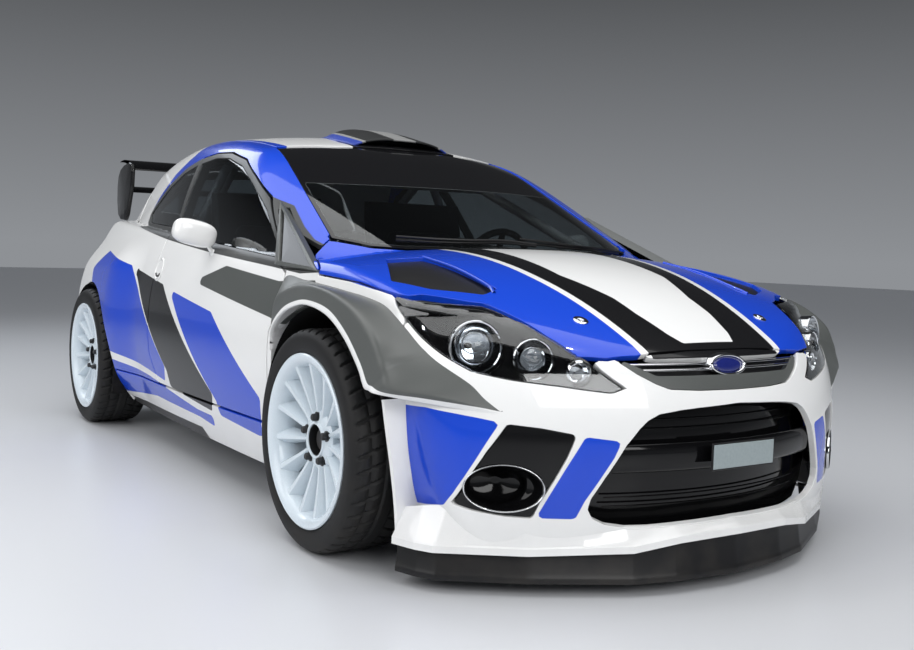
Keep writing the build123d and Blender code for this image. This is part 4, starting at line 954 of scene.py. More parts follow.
def loft_faces(rows, columns, wrap_rows=False, wrap_columns=False):
    """Quads between neighbouring points of a grid stored row by row."""
    r = np.arange(rows if wrap_rows else rows - 1)
    c = np.arange(columns if wrap_columns else columns - 1)
    row, next_row = r[:, None] * columns, ((r + 1) % rows)[:, None] * columns
    next_c = (c + 1) % columns
    return np.stack([(row + c).ravel(), (next_row + c).ravel(), (next_row + next_c).ravel(),
                     (row + next_c).ravel()], 1)


def grid_mesh(grid, inside_out=False, **wraps):
    """Points and quads of a grid of points."""
    faces = loft_faces(*grid.shape[:2], **wraps)
    return grid.reshape(-1, 3), faces[:, ::-1] if inside_out else faces


def spline(points, count):
    """Points along a smooth curve through given ones, evenly spaced in their order."""
    points = np.asarray(points, float)
    knots = np.arange(len(points))
    at = np.linspace(0, len(points) - 1, count)
    return np.stack([hermite(at, knots, points[:, k]) for k in range(points.shape[1])], 1)


# Front flares: stations along the flare, each with its lip, crest and root points (|y| kept above 0)
FLARE_STATIONS = (
    ((0.800, 0.850, 0.545), (0.806, 0.850, 0.640), (0.803, 0.828, 0.690)),
    ((0.818, 0.856, 0.608), (0.830, 0.850, 0.705), (0.815, 0.806, 0.776)),
    ((0.915, 0.868, 0.664), (0.930, 0.858, 0.742), (0.943, 0.798, 0.772)),
    ((1.030, 0.882, 0.694), (1.050, 0.869, 0.762), (1.060, 0.792, 0.762)),
    ((1.150, 0.893, 0.707), (1.190, 0.884, 0.764), (1.185, 0.788, 0.750)),
    ((1.300, 0.903, 0.688), (1.325, 0.889, 0.746), (1.310, 0.783, 0.737)),
    ((1.410, 0.906, 0.636), (1.440, 0.892, 0.710), (1.415, 0.778, 0.716)),
    ((1.490, 0.906, 0.568), (1.532, 0.889, 0.655), (1.505, 0.775, 0.670)),
    ((1.517, 0.905, 0.529), (1.569, 0.884, 0.600), (1.573, 0.762, 0.624)),
    ((1.526, 0.903, 0.517), (1.580, 0.882, 0.578), (1.590, 0.758, 0.612)),
    ((1.537, 0.899, 0.514), (1.585, 0.880, 0.563), (1.603, 0.750, 0.604)),
    ((1.570, 0.888, 0.507), (1.604, 0.872, 0.524), (1.650, 0.715, 0.578)),
    ((1.632, 0.800, 0.491), (1.655, 0.798, 0.512), (1.697, 0.680, 0.541)),
    ((1.695, 0.712, 0.476), (1.708, 0.712, 0.492), (1.730, 0.652, 0.505)),
    ((1.750, 0.640, 0.462), (1.752, 0.638, 0.468), (1.756, 0.634, 0.474)),
)


def front_flare():
    """Flare surface: at each station a lip-to-crest-to-root bend, smooth along the stations."""
    count, soft = 150, 0.07
    lip, crest, root = (spline([s[k] for s in FLARE_STATIONS], count)[:, None] for k in range(3))
    t = np.linspace(0, 2, 25)
    bend = soft * np.exp(-((t - 1) / soft) ** 2) * 0.5
    up, over = np.clip(t, 0, 1) - bend, np.clip(t - 1, 0, 1) + bend
    up[0], over[0] = 0, 0
    skin = lip + (crest - lip) * up[:, None] + (root - crest) * over[:, None]
    flange = lip + np.array((0, -1, 0.15)) * np.linspace(0.055, 0.0, 5)[:-1, None]
    band = np.concatenate([np.zeros((count, 4)), np.linalg.norm(skin - lip, axis=-1)], 1)
    seam = np.abs(np.linspace(0, len(FLARE_STATIONS) - 1, count) - 6.35)[:, None] * 0.11 + 0 * band
    return np.concatenate([flange, skin], 1), band, seam


def flare_material():
    """Satin grey with a white band along the lip and a dark seam."""
    made = material("flare_with_lip", GREY, 0.42, grain=(700.0, 0.02, 0.0003), spread=0.03, dust=0.06,
                    Coat_Weight=0.15, Coat_Roughness=0.35)
    tree = made.node_tree
    shader = tree.nodes["Principled BSDF"]
    base = mix(tree, painted_mask(tree, "seam", 0.0014), linked(shader, "Base Color"), color4(BLACK))
    tree.links.new(mix(tree, painted_mask(tree, "band", 0.017), base, color4(WHITE)),
                   shader.inputs["Base Color"])
    return made


flare_grid, flare_band, flare_seam = front_flare()
side_pair("front_flare", *grid_mesh(flipped(flare_grid)), flare_material(), "body", "body_paint",
          attributes={"band": flare_band.ravel(), "seam": flare_seam.ravel()})


def liner(axle_x, centre_z, radius, name, front_out=0.865):
    """Wheel housing: a half tunnel round the wheel with a flat inner wall."""
    angle = np.radians(np.linspace(-12, 192, 90))[:, None]
    y = np.array((0, 0.70, 0.56, 0.50)) + 0 * angle
    y[:, :1] = 0.865 + (front_out - 0.865) * ramp(np.degrees(angle), 34, 26)
    reach = np.array((1.0, 1.0, 1.0, 0.97)) * radius
    grid = at_points(axle_x + np.cos(angle) * reach, -y, centre_z + np.sin(angle) * reach)
    hub = np.array((axle_x, -0.495, centre_z))
    grid = np.concatenate([grid, grid[:, -1:] * 0.55 + hub * 0.45], 1)
    side_pair(name, *grid_mesh(grid), LINER, "body", "grille_plastic")


liner(1.19, 0.31, 0.395, "front_arch_liner", 0.715)
liner(REAR_AXLE_X, 0.265, 0.400, "rear_arch_liner")


# White edge of the bumper towards the wheel: rails from the flange behind it to the panel in front of it
def bumper_edge():
    """Surface through four rails, each smooth through its own points."""
    inner = ((1.512, -0.800, 0.480), (1.512, -0.790, 0.409), (1.512, -0.770, 0.304), (1.512, -0.750, 0.205),
             (1.515, -0.760, 0.118))
    outer = ((1.514, -0.846, 0.484), (1.514, -0.834, 0.409), (1.514, -0.816, 0.304), (1.514, -0.802, 0.205),
             (1.516, -0.796, 0.118))
    front = ((1.524, -0.844, 0.486), (1.524, -0.831, 0.409), (1.523, -0.812, 0.304), (1.521, -0.798, 0.205),
             (1.524, -0.792, 0.118))
    panel_side = ((1.545, -0.782, 0.490), (1.543, -0.774, 0.409), (1.535, -0.752, 0.304),
                  (1.523, -0.722, 0.205), (1.545, -0.730, 0.118))
    return np.stack([spline(rail, 60) for rail in (inner, outer, front, panel_side)], 1)


side_pair("bumper_edge", *grid_mesh(bumper_edge()), WHITE_PAINT, "body", "body_paint", sharp=32)

# Lip shelf and splitter: points (x, |y|, z) of each edge from the middle to the wheel
def mirrored_rail(points, count):
    """Even points along a polyline and its mirror image."""
    share, knots = np.linspace(0, 1, count), np.linspace(0, 1, len(points))
    half = np.stack([np.interp(share, knots, c) for c in np.transpose(points)], 1)
    return np.concatenate([half[::-1], flipped(half[1:])])


def ribbon(name, rails, mat, slot, replaced=(), count=121):
    """Surface through edges that each run the whole way round the nose."""
    grid = np.stack([mirrored_rail(rail, count) for rail in rails], 1)
    sharpen(place(name, *grid_mesh(grid), mat, "body", slot, replaced))


SHELF_OUT = ((1.975, 0), (1.955, 0.200), (1.921, 0.330), (1.790, 0.566), (1.648, 0.764), (1.600, 0.790),
             (1.525, 0.812))
SHELF_LOW_Z = (0.143, 0.137, 0.118, 0.108, 0.108, 0.108, 0.108)
SHELF_IN = ((1.944, 0, 0.183), (1.924, 0.200, 0.178), (1.886, 0.345, 0.181), (1.778, 0.580, 0.208),
            (1.640, 0.722, 0.226), (1.580, 0.752, 0.214), (1.520, 0.772, 0.200))


def inset(rail, distance):
    """Plan points moved towards (1, 0), near the car's middle."""
    reach = [math.hypot(x - 1.0, y) for x, y in rail]
    return [(x - distance * (x - 1.0) / r, y - distance * y / r) for (x, y), r in zip(rail, reach)]


def at_height(rail, heights):
    return [(x, y, z) for (x, y), z in zip(rail, heights)]


low = at_height(SHELF_OUT, SHELF_LOW_Z)
high = at_height(SHELF_OUT, [z + 0.018 for z in SHELF_LOW_Z])
brow = at_height(inset(SHELF_OUT, 0.004), [z + 0.022 for z in SHELF_LOW_Z])
middle = [tuple(0.55 * a + 0.45 * b - (0.004 if k == 2 else 0) for k, (a, b) in enumerate(zip(p, q)))
          for p, q in zip(brow, SHELF_IN)]
under = at_height(inset(SHELF_OUT, 0.05), SHELF_LOW_Z)
ribbon("lip_shelf", [[(x - 0.03, y * 0.985, z - 0.022) for x, y, z in SHELF_IN], SHELF_IN, middle, brow, high,
                     low, under], WHITE_PAINT, "body_paint")
SPLITTER_OUT = ((1.9680, 0), (1.948, 0.200), (1.915, 0.326), (1.786, 0.560), (1.644, 0.757), (1.598, 0.782),
                (1.530, 0.803))
SKIRT_TOP = [z + 0.012 for z in SHELF_LOW_Z]
SKIRT_STEPS = ((0.006, 0.060), (0.002, 0.052), (0, 0.047), (0, 0.036), (0.004, 0.034), (0.3, 0.034))
ribbon("splitter_skirt", [at_height(inset(SPLITTER_OUT, 0.016), SKIRT_TOP)]
       + [at_height(inset(SPLITTER_OUT, back), [z] * len(SPLITTER_OUT)) for back, z in SKIRT_STEPS],
       SATIN_BLACK, "black_composite", ["splitter"])


# Quarter light: a frame and a pane between three corners, over the crease of cabin and shoulder
def three_sided(corners, inner, lifts, count=40):
    """Rings along a triangle's sides, shifted from its outer to its inner corners, lifted off its plane."""
    outer, inner = np.asarray(corners, float), np.asarray(inner, float)
    normal = unit(np.cross(outer[1] - outer[0], outer[2] - outer[0]))
    normal = normal * -np.sign(normal[1])
    at = np.linspace(0, 3, 3 * count, endpoint=False)
    side, share = at.astype(int), (at % 1)[:, None]
    rings = []
    for shift, lift in lifts:
        ends = outer + (inner - outer) * shift
        rings.append(ends[side] * (1 - share) + ends[(side + 1) % 3] * share + normal * lift)
    return grid_mesh(np.stack(rings, 1), wrap_rows=True)


LIGHT_OUT = ((0.478, -0.680, 1.024), (1.012, -0.790, 0.797), (0.716, -0.800, 0.809))
LIGHT_IN = ((0.520, -0.692, 0.993), (0.955, -0.787, 0.809), (0.742, -0.795, 0.822))
LIGHT_MIDDLE = tuple(tuple(np.mean(LIGHT_IN, 0)) for _ in range(3))
side_pair("quarter_frame", *three_sided(LIGHT_OUT, LIGHT_IN, ((0.0, -0.030), (0.0, 0.001), (0.08, 0.005),
                                                              (0.85, 0.006), (0.97, 0.004), (1.0, -0.006))),
          FLARE, "body", "body_paint", sharp=32)
side_pair("quarter_pane", *three_sided(LIGHT_IN, LIGHT_MIDDLE, ((-0.02, -0.002), (0.5, 0.0), (0.999, 0.0))),
          GLOSS_BLACK, "body", "window_glass")


def turned(profile, count, centre, axis, closed=False):
    """Surface of revolution: profile points (radius, offset along axis) turned about an axis."""
    axis = unit(np.asarray(axis, float))
    side = unit(np.cross(axis, (0, 0, 1.0) if abs(axis[2]) < 0.9 else (1.0, 0, 0)))
    up = np.cross(axis, side)
    angle = np.linspace(0, 2 * math.pi, count, endpoint=False)
    radial = np.cos(angle)[:, None] * side + np.sin(angle)[:, None] * up
    profile = np.asarray(profile, float)
    grid = (np.asarray(centre, float) + radial[:, None] * profile[None, :, :1] + axis * profile[None, :, 1:])
    return grid_mesh(grid, wrap_rows=True, wrap_columns=closed)


def merged(pieces):
    """Several meshes as one."""
    points, faces, start = [], [], 0
    for p, f in pieces:
        points.append(p)
        faces.append(f + start)
        start += len(p)
    return np.concatenate(points), np.concatenate(faces)


def turned_pair(name, profile, count, centre, axis, mat, slot, body_name="body"):
    side_pair(name, *turned(profile, count, centre, axis), mat, body_name, slot, sharp=32)


# Lamps behind the lens: chrome bowls with a glass dome, and a chrome tube; each profile point is
# (share of the lamp's radius, metres more, offset along the axis)
LAMP_PARTS = {
    "bowl": (((1, 0.001, -0.030), (1, 0.002, 0.001), (1, 0, 0.004), (0.95, 0, 0.002), (0.90, 0, -0.012),
              (0.72, 0, -0.036), (0.45, 0, -0.048), (0, 0.004, -0.052)), 64, REFLECTOR),
    "dome": (((0.60, 0, -0.030), (0.60, 0, -0.012), (0.52, 0, 0.004), (0.36, 0, 0.014), (0.18, 0, 0.019),
              (0, 0.002, 0.020)), 48, LENS),
    "collar": (((0.62, 0, -0.040), (0.68, 0, -0.012), (0.65, 0, -0.006), (0.61, 0, -0.012)), 48, CHROME),
    "tube": (((0, 0.002, -0.030), (0.62, 0, -0.028), (0.70, 0, 0.004), (0.80, 0, 0.010), (0.97, 0, 0.006),
              (1, 0, -0.030)), 48, CHROME),
}


def lamp_part(name, kind, centre, radius):
    profile, count, mat = LAMP_PARTS[kind]
    turned_pair(name, [(radius * share + more, offset) for share, more, offset in profile], count, centre,
                LAMP_AXIS, mat, "lamp_glass")


for index, lamp_place in enumerate(LAMPS[:2]):
    for kind in ("bowl", "dome", "collar"):
        lamp_part(f"headlamp_{kind}_{index}", kind, *lamp_place)
lamp_part("headlamp_tube", "tube", *LAMPS[2])

# Funnel-shaped intakes of the fog pods: ellipses that shrink, shift and sink from the rim inwards
INTAKE_RINGS = ((0.102, 0.060, 0.000, -0.016), (0.102, 0.060, 0.000, 0.002), (0.100, 0.058, 0.000, 0.005),
                (0.097, 0.0555, 0.001, 0.003), (0.092, 0.054, 0.004, -0.008), (0.084, 0.052, 0.010, -0.024),
                (0.074, 0.049, 0.020, -0.038), (0.070, 0.047, 0.022, -0.070), (0.020, 0.015, 0.022, -0.090),
                (0.001, 0.001, 0.022, -0.092))
FOG_HIGHLIGHT_RIM = ((0.1035, 0.0612, 0.000, 0.000), (0.1030, 0.0608, 0.000, 0.0055), (0.1010, 0.0592, 0.000, 0.0068),
           (0.0990, 0.0575, 0.000, 0.0050))


def intake(rings):
    """Rings (half width, half height, shift sideways, height off the skin) joined into one surface."""
    centre, out = np.array((1.760, -0.628, 0.283)), unit(np.array((0.816, -0.578, 0.0)))
    across = unit(np.array((-0.578, -0.816, 0.0)))
    angle = np.linspace(0, 2 * math.pi, 72, endpoint=False)
    rings = spline(rings, 46)
    grid = (centre + (np.cos(angle)[:, None] * rings[None, :, 0] + rings[None, :, 2])[..., None] * across
            + (np.sin(angle)[:, None] * rings[None, :, 1])[..., None] * UP
            + rings[None, :, 3, None] * out)
    return grid_mesh(grid, wrap_rows=True)


# The rim is gloss black; its chrome ring is a painted highlight, bright where the rim catches the light.
side_pair("fog_rim", *intake(FOG_HIGHLIGHT_RIM), CHROME, "body", "grille_plastic")
side_pair("fog_intake", *intake(INTAKE_RINGS), GLOSS_BLACK, "body", "grille_plastic")


def nose_band(name, z_low, z_high, half_width, sink, mat, bulge=0.006):
    """Bar across the nose that follows its surface, rounded in section."""
    y = np.linspace(-1, 1, 61)[:, None] * half_width
    turn = np.linspace(0, math.pi, 9)
    z = (z_low + z_high) / 2 - np.cos(turn) * (z_high - z_low) / 2
    grid = cast(at_points(1.2, y, z), FORWARD)
    grid[..., X] += np.sin(turn) * bulge - sink
    place(name, *grid_mesh(grid, inside_out=True), mat, "body", "grille_plastic")


nose_band("upper_grille_bar", 0.589, 0.595, 0.318, 0.012, CHROME, bulge=0.004)
nose_band("upper_grille_bar_low", 0.575, 0.581, 0.300, 0.012, CHROME, bulge=0.004)
for row, z in enumerate((0.222, 0.246, 0.424, 0.448)):
    nose_band(f"lower_grille_slat_{row}", z, z + 0.004, 0.37 - 0.30 * max(z - 0.24, 0), 0.060, GLOSS_BLACK)
nose_band("lower_grille_beam", 0.318, 0.392, 0.372, 0.030, GLOSS_BLACK, bulge=0.010)


def slab(name, centre, half, mat):
    """Thin block facing forward, with rounded edges."""
    bpy.ops.mesh.primitive_cube_add(size=1)
    made = bpy.context.object
    made.name = name
    made.data.transform(Matrix.Translation(centre) @ Matrix.Diagonal((*(2 * h for h in half), 1)))
    bevel = made.modifiers.new("round", "BEVEL")
    bevel.width, bevel.segments = 0.002, 3
    made.data.materials.append(mat)
    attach(made, "body")


slab("blank_plate", (1.972, 0, 0.356), (0.002, 0.114, 0.032), PLATE)
slab("plate_frame", (1.969, 0, 0.356), (0.002, 0.119, 0.037), SATIN_BLACK)


# Blank oval badge: a chrome ring round a domed field
BADGE_BLUE = material("badge_enamel", (0.012, 0.020, 0.16), 0.18, grain=(300.0, 0.02, 0.0003),
                      Coat_Weight=0.8)


def oval(rings, count=72):
    """Ellipses (half width, half height, how far forward) joined into one surface."""
    angle = np.linspace(0, 2 * math.pi, count, endpoint=False)
    rings = np.asarray(rings, float)
    rise = np.sin(angle)[:, None] * rings[:, 1]
    grid = at_points(1.898 + rings[:, 2] - 0.40 * rise, np.cos(angle)[:, None] * rings[:, 0], 0.588 + rise)
    return grid_mesh(grid, wrap_rows=True)


place("badge_ring", *oval(((0.068, 0.029, -0.03), (0.068, 0.029, 0.004), (0.066, 0.027, 0.008),
                           (0.062, 0.024, 0.009), (0.058, 0.021, 0.006), (0.057, 0.020, -0.004))), CHROME,
      "body", "grille_plastic")
place("badge_field", *oval(((0.058, 0.021, -0.002), (0.054, 0.019, 0.004), (0.040, 0.013, 0.007),
                            (0.020, 0.007, 0.008), (0.001, 0.0004, 0.0082))), BADGE_BLUE, "body",
      "grille_plastic")


# Wheels, right-hand side: outward is -Y
RIM_PROFILE = ((0.212, -0.116), (0.250, -0.116), (0.250, -0.109), (0.229, -0.105), (0.229, 0.104),
               (0.249, 0.108), (0.250, 0.115), (0.246, 0.118), (0.238, 0.117), (0.225, 0.110), (0.217, 0.092),
               (0.212, 0.060))
TYRE_PROFILE = ((0.2285, 0.100), (0.240, 0.107), (0.2505, 0.1085), (0.255, 0.114), (0.266, 0.1165),
                (0.282, 0.1175), (0.296, 0.1155), (0.306, 0.110), (0.3125, 0.103), (0.3175, 0.092),
                (0.3195, 0.075), (0.320, 0.05), (0.320, 0.025))


def tyre_surface():
    """Tyre: half profile mirrored, with grooves cut by a product of square waves across the tread."""
    half = spline(TYRE_PROFILE, 33)
    middle = np.stack([np.full(9, 0.320), np.linspace(0.020, -0.020, 9)], 1)
    profile = np.concatenate([half, middle, half[::-1] * np.array((1, -1))])
    angle = np.linspace(0, 2 * math.pi, 540, endpoint=False)
    offset = profile[:, 1]
    tread = ramp(profile[:, 0], 0.308, 0.316)
    slant = np.abs(offset) * 9
    wave = np.cos(angle[:, None] * 45 + slant[None] * 6)
    groove = ramp(wave, 0.72, 0.86) * ramp(np.abs(offset), 0.018, 0.026)
    ring = np.exp(-((np.abs(offset) - 0.022) / 0.004) ** 2) + np.exp(-((np.abs(offset) - 0.062) / 0.004) ** 2)
    depth = np.clip(groove + ring[None], 0, 1) * tread[None] * 0.006
    radius = profile[None, :, 0] - depth
    return at_points(np.cos(angle)[:, None] * radius, -(WHEEL_Y + offset),
                     AXLE_Z + np.sin(angle)[:, None] * radius)


def spoke_pieces():
    """Fifteen wedge-shaped spokes: a narrow ridge over a foot that widens towards the rim."""
    pieces = []
    section = np.array(((-1.0, 1.0), (-0.82, 0.55), (-0.42, 0.10), (-0.30, 0.0), (0.0, -0.02), (0.30, 0.0),
                        (0.42, 0.10), (0.82, 0.55), (1.0, 1.0), (0.5, 1.04), (-0.5, 1.04)))
    reach = np.linspace(0, 1, 16)
    radius = 0.060 + (0.226 - 0.060) * reach
    outward = 0.070 + 0.030 * reach ** 1.4
    half_wide = 0.0115 + 0.0145 * reach ** 1.3
    deep = 0.026 + 0.026 * reach
    for spoke in range(15):
        angle = math.radians(90 + spoke * 24)
        along = np.array((math.cos(angle), math.sin(angle)))
        across = np.array((-math.sin(angle), math.cos(angle)))
        flat = (radius[:, None, None] * along
                + (half_wide[:, None] * section[None, :, 0])[..., None] * across)
        offset = outward[:, None] - deep[:, None] * section[None, :, 1]
        grid = at_points(flat[..., 0], -(WHEEL_Y + offset), AXLE_Z + flat[..., 1])
        pieces.append(grid_mesh(grid, wrap_columns=True))
    return pieces


HUB_PROFILE = ((0.044, 0.010), (0.044, 0.072), (0.046, 0.078), (0.052, 0.079), (0.056, 0.074), (0.078, 0.070),
               (0.086, 0.062), (0.086, 0.020))
NUT_PROFILE = ((0.0155, 0.066), (0.0155, 0.0735), (0.011, 0.074), (0.0105, 0.086), (0.008, 0.089),
               (0.0005, 0.089))
BORE_PROFILE = ((0.043, 0.076), (0.042, 0.030), (0.026, 0.026), (0.024, 0.040), (0.0005, 0.042))
NUT_CIRCLE = 0.066


def wheel(axle_x, end):
    """Right and left wheel at one axle; end is front or rear."""
    shift = np.array((axle_x, 0, 0))
    body_name = f"{end}_wheel_right"
    hub = (axle_x, -WHEEL_Y, AXLE_Z)
    rim = [turned(RIM_PROFILE, 120, hub, RIGHTWARD, closed=True), turned(HUB_PROFILE, 72, hub, RIGHTWARD)]
    rim += [(points + shift, faces) for points, faces in spoke_pieces()]
    side_pair(f"{end}_rim_form", *merged(rim), RIM_WHITE_BLUE_SHADE, body_name, "wheel_paint", [f"{end}_rim_right"],
              sharp=40)
    points, faces = grid_mesh(tyre_surface(), wrap_rows=True)
    side_pair(f"{end}_tyre_form", points + shift, faces, RUBBER, body_name, "tyre_rubber",
              [f"{end}_tyre_right"], sharp=40)
    nuts = []
    for angle in np.radians(90 + 72 * np.arange(5)):
        at = (axle_x + NUT_CIRCLE * math.cos(angle), -WHEEL_Y, AXLE_Z + NUT_CIRCLE * math.sin(angle))
        nuts.append(turned(NUT_PROFILE, 24, at, RIGHTWARD))
    bore = turned(BORE_PROFILE, 48, hub, RIGHTWARD)
    side_pair(f"{end}_nuts", *merged([*nuts, bore]), DARK_METAL, body_name, "disc_steel", sharp=40)


wheel(FRONT_AXLE_X, "front")
wheel(REAR_AXLE_X, "rear")


# Door mirrors
def bend(value, power):
    """Power of a sine or cosine that keeps its sign, for superellipses."""
    return np.sign(value) * np.abs(value) ** (2 / power)


def sphere_angles(rows, columns):
    """Heights from pole to pole as a column, turns round the equator as a row."""
    return (np.linspace(-math.pi / 2, math.pi / 2, rows)[:, None],
            np.linspace(0, 2 * math.pi, columns, endpoint=False)[None])


def pod(centre, half, power=2.6):
    """Superellipsoid |x/a|^p + |y/b|^p + |z/c|^p = 1, by angles."""
    u, v = sphere_angles(32, 48)
    out = bend(np.cos(u), power)
    grid = at_points(out * bend(np.cos(v), power), out * bend(np.sin(v), power), bend(np.sin(u), power))
    return grid_mesh(grid * half + centre, wrap_columns=True)


def turned_about(points, centre, axis, degrees):
    """Points turned about an axis through a centre."""
    turn = np.array(Matrix.Rotation(math.radians(degrees), 3, Vector(axis)))
    return (points - centre) @ turn.T + centre


def rod(path, radius, count=60, sides=14):
    """Round bar along a smooth curve: circles in frames carried along the curve."""
    line = spline(path, count)
    along = unit(np.gradient(line, axis=0))
    side = np.empty_like(along)
    side[0] = unit(np.cross(along[0], (0.31, 0.17, 0.93)))
    for k in range(1, count):
        side[k] = unit(side[k - 1] - along[k] * (side[k - 1] @ along[k]))
    up = np.cross(along, side)
    angle = np.linspace(0, 2 * math.pi, sides, endpoint=False)
    grid = (line[:, None] + radius * (np.cos(angle)[None, :, None] * side[:, None]
                                      + np.sin(angle)[None, :, None] * up[:, None]))
    return grid_mesh(grid, inside_out=True, wrap_columns=True)


CENTRE_SHARE = 0.001  # where a plate's faces close, as a share of the way from its middle to its edge


def plate(outline, y, thickness, rounding, count=96):
    """Upright plate along the car with rounded edges: rings shrunk towards a middle point, face to face."""
    corners = np.asarray((*outline, outline[0]), float)
    length = np.r_[0, np.cumsum(np.hypot(*np.diff(corners, axis=0).T))]
    at = np.linspace(0, length[-1], count, endpoint=False)
    edge = np.stack([np.interp(at, length, corners[:, k]) for k in range(2)], 1)
    middle = edge.mean(0)
    reach = np.linalg.norm(edge - middle, axis=1)
    turn = np.linspace(0, math.pi, 7)
    flat_part = (thickness / 2 - rounding) * np.sign(np.cos(turn))
    closed = np.full(count, CENTRE_SHARE)
    shares = [closed, *(1 - (1 - np.sin(a)) * rounding / reach for a in turn), closed]
    heights = np.r_[thickness / 2, np.cos(turn) * rounding + flat_part, -thickness / 2]
    flat = middle + (edge - middle)[:, None] * np.stack(shares, 1)[..., None]
    return grid_mesh(at_points(flat[..., 0], y + heights, flat[..., 1]), wrap_rows=True)


mirror_centre = np.array((0.166, -0.876, 0.908))
capsule = pod(mirror_centre, np.array((0.040, 0.080, 0.046)), power=3.0)
mirror_stalk = rod(((0.166, -0.838, 0.895), (0.164, -0.826, 0.868), (0.160, -0.812, 0.848),
                    (0.156, -0.800, 0.838)), 0.008)
mirror_foot = pod(np.array((0.155, -0.803, 0.837)), np.array((0.020, 0.010, 0.015)))
side_pair("mirror_pod", *merged([(turned_about(capsule[0], mirror_centre, (1, 0, 0), -13), capsule[1]),
                                 mirror_stalk, mirror_foot]),
          WHITE_PAINT, "door_right", "body_paint", ["mirror_right"])


# Roof scoop: a hood above the roof whose width and height swell from the tail to the mouth
def scoop():
    """Hood height times (1 - |t|^3.2) above the roof, |t| the share of the half width."""
    s, side = np.linspace(0, 1, 60)[:, None], np.linspace(-1, 1, 61)[None]
    x = -0.465 + 0.580 * s + 0.030 * s * (1 - side ** 2)
    half = 0.110 + 0.108 * ramp(s, 0.0, 0.75)
    y = half * side
    roof = cast(at_points(x, y, 0.8), UP)
    height = 0.044 * ramp(s, 0.0, 0.45) - 0.012 * ramp(s, 0.6, 1.0)
    roof[..., Z] += height * (1 - np.abs(side) ** 3.2) + 0.0015
    black = np.maximum(0.052 - np.abs(y), np.abs(y) - 0.78 * half)
    return roof, {"black": black.ravel(), "blue": ((0.84 - np.abs(side)) * half).ravel()}


scoop_grid, scoop_fields = scoop()
scoop_hood = place("scoop_hood", *grid_mesh(scoop_grid), PAINT, "body", "body_paint", ["roof_scoop"],
                   attributes=scoop_fields)
hood_wall = scoop_hood.modifiers.new("wall", "SOLIDIFY")
hood_wall.thickness, hood_wall.offset = 0.007, -1
mouth_row = scoop_grid[44]
mouth_floor = cast(at_points(mouth_row[:, X], mouth_row[:, Y], 0.8), UP)
scoop_back = np.stack([mouth_row, mouth_floor], 1) - (0, 0, 0.004)
place("scoop_back", *grid_mesh(scoop_back), SATIN_BLACK, "body", "grille_plastic")

# Rear wing
END_PLATE = ((-1.722, 0.980), (-1.800, 0.985), (-1.845, 1.010), (-1.862, 1.080), (-1.860, 1.160),
             (-1.842, 1.215), (-1.805, 1.248), (-1.740, 1.268), (-1.650, 1.278), (-1.612, 1.268),
             (-1.600, 1.235), (-1.612, 1.150), (-1.660, 1.060), (-1.690, 1.005))
STAY = ((-1.602, 1.240), (-1.640, 1.262), (-1.760, 1.160), (-1.742, 0.985), (-1.690, 1.000), (-1.600, 1.110))


def blade(lead, trail, camber, thickness):
    """Wing blade: a cambered section with a round nose, drawn across the car."""
    s = np.linspace(0, 1, 24)[:, None]
    run = np.array(trail) - np.array(lead)
    normal = np.array((-run[1], run[0])) / np.hypot(*run)
    line = np.array(lead) + s * run + 4 * camber * s * (1 - s) * normal
    deep = thickness * (1.5 * np.sqrt(s) * (1 - s) + 0.10) * normal / 2
    section = np.concatenate([line + deep, (line - deep)[::-1]])
    grid = at_points(section[:, :1], np.linspace(-0.585, 0.585, 9), section[:, 1:])
    return grid_mesh(grid, wrap_rows=True)


wing_parts = [plate(END_PLATE, y, 0.022, 0.008) for y in (-0.588, 0.588)]
wing_parts += [blade((-1.604, 1.238), (-1.852, 1.290), -0.020, 0.030),
               blade((-1.640, 1.125), (-1.840, 1.152), -0.014, 0.022)]
wing_parts += [plate(STAY, y, 0.012, 0.004) for y in (-0.3, 0.3)]
sharpen(place("rear_wing_form", *merged(wing_parts), GLOSS_BLACK, "tailgate", "black_composite",
              ["rear_wing"]), 40)

# Seat pads: superellipsoids bent along the seat's centre line, pulled in between the corners and sewn
SEAT_Y = 0.360
PAD_CHANNELS = (-0.52, 0.0, 0.52)


def seat_pad(path, half_width, half_thick):
    """|r|^2.3 + |n/t|^2.3 = 1 with r^7 = |s|^7 + |w|^7: s runs along the path, w across it, n out of it."""
    u, v = sphere_angles(96, 160)
    out = bend(np.cos(u), 2.3)
    run, across = out * bend(np.cos(v), 7), out * bend(np.sin(v), 7)
    run, across = run * (1 - 0.05 * (1 - across ** 2)), across * (1 - 0.07 * (1 - run ** 2))
    sewn = sum(np.exp(-((across - c) / 0.045) ** 2) for c in PAD_CHANNELS)
    lift = half_thick * bend(np.sin(u), 2.3) * (1 - 0.30 * sewn)
    line = spline(path, 200)
    along = unit(np.gradient(line, axis=0))
    knots = np.linspace(-1, 1, 200)
    x = np.interp(run, knots, line[:, X]) - lift * np.interp(run, knots, along[:, Z])
    z = np.interp(run, knots, line[:, Z]) + lift * np.interp(run, knots, along[:, X])
    return grid_mesh(at_points(x, -SEAT_Y + half_width * across, z), wrap_columns=True)


CUSHION_LINE = ((-0.165, 0, 0.350), (0.0, 0, 0.370), (0.140, 0, 0.388), (0.215, 0, 0.376))
BACK_LINE = ((-0.322, 0, 0.960), (-0.293, 0, 0.800), (-0.247, 0, 0.560), (-0.190, 0, 0.395))
for name, path, half_width, half_thick in (("seat_cushion", CUSHION_LINE, 0.186, 0.034),
                                           ("seat_back_pad", BACK_LINE, 0.184, 0.032)):
    for pad in side_pair(name, *seat_pad(path, half_width, half_thick), FABRIC, "body", "seat_fabric"):
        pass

# Small pieces on the skin: bonnet pins, ridge beside the vent, a satin black disc as painted shade in the
# jacking socket, and wipers
def raised(line, start_z=0.6):
    """Points of the skin above or below given (x, y)."""
    x, y = np.transpose(line)
    return cast(at_points(x, y, start_z), UP)


def skin_button(name, profile, at, mat, body_name):
    """Small turned piece that stands on the skin."""
    turned_pair(name, profile, 40, at, body_normal(at[None])[0], mat, "grille_plastic", body_name)


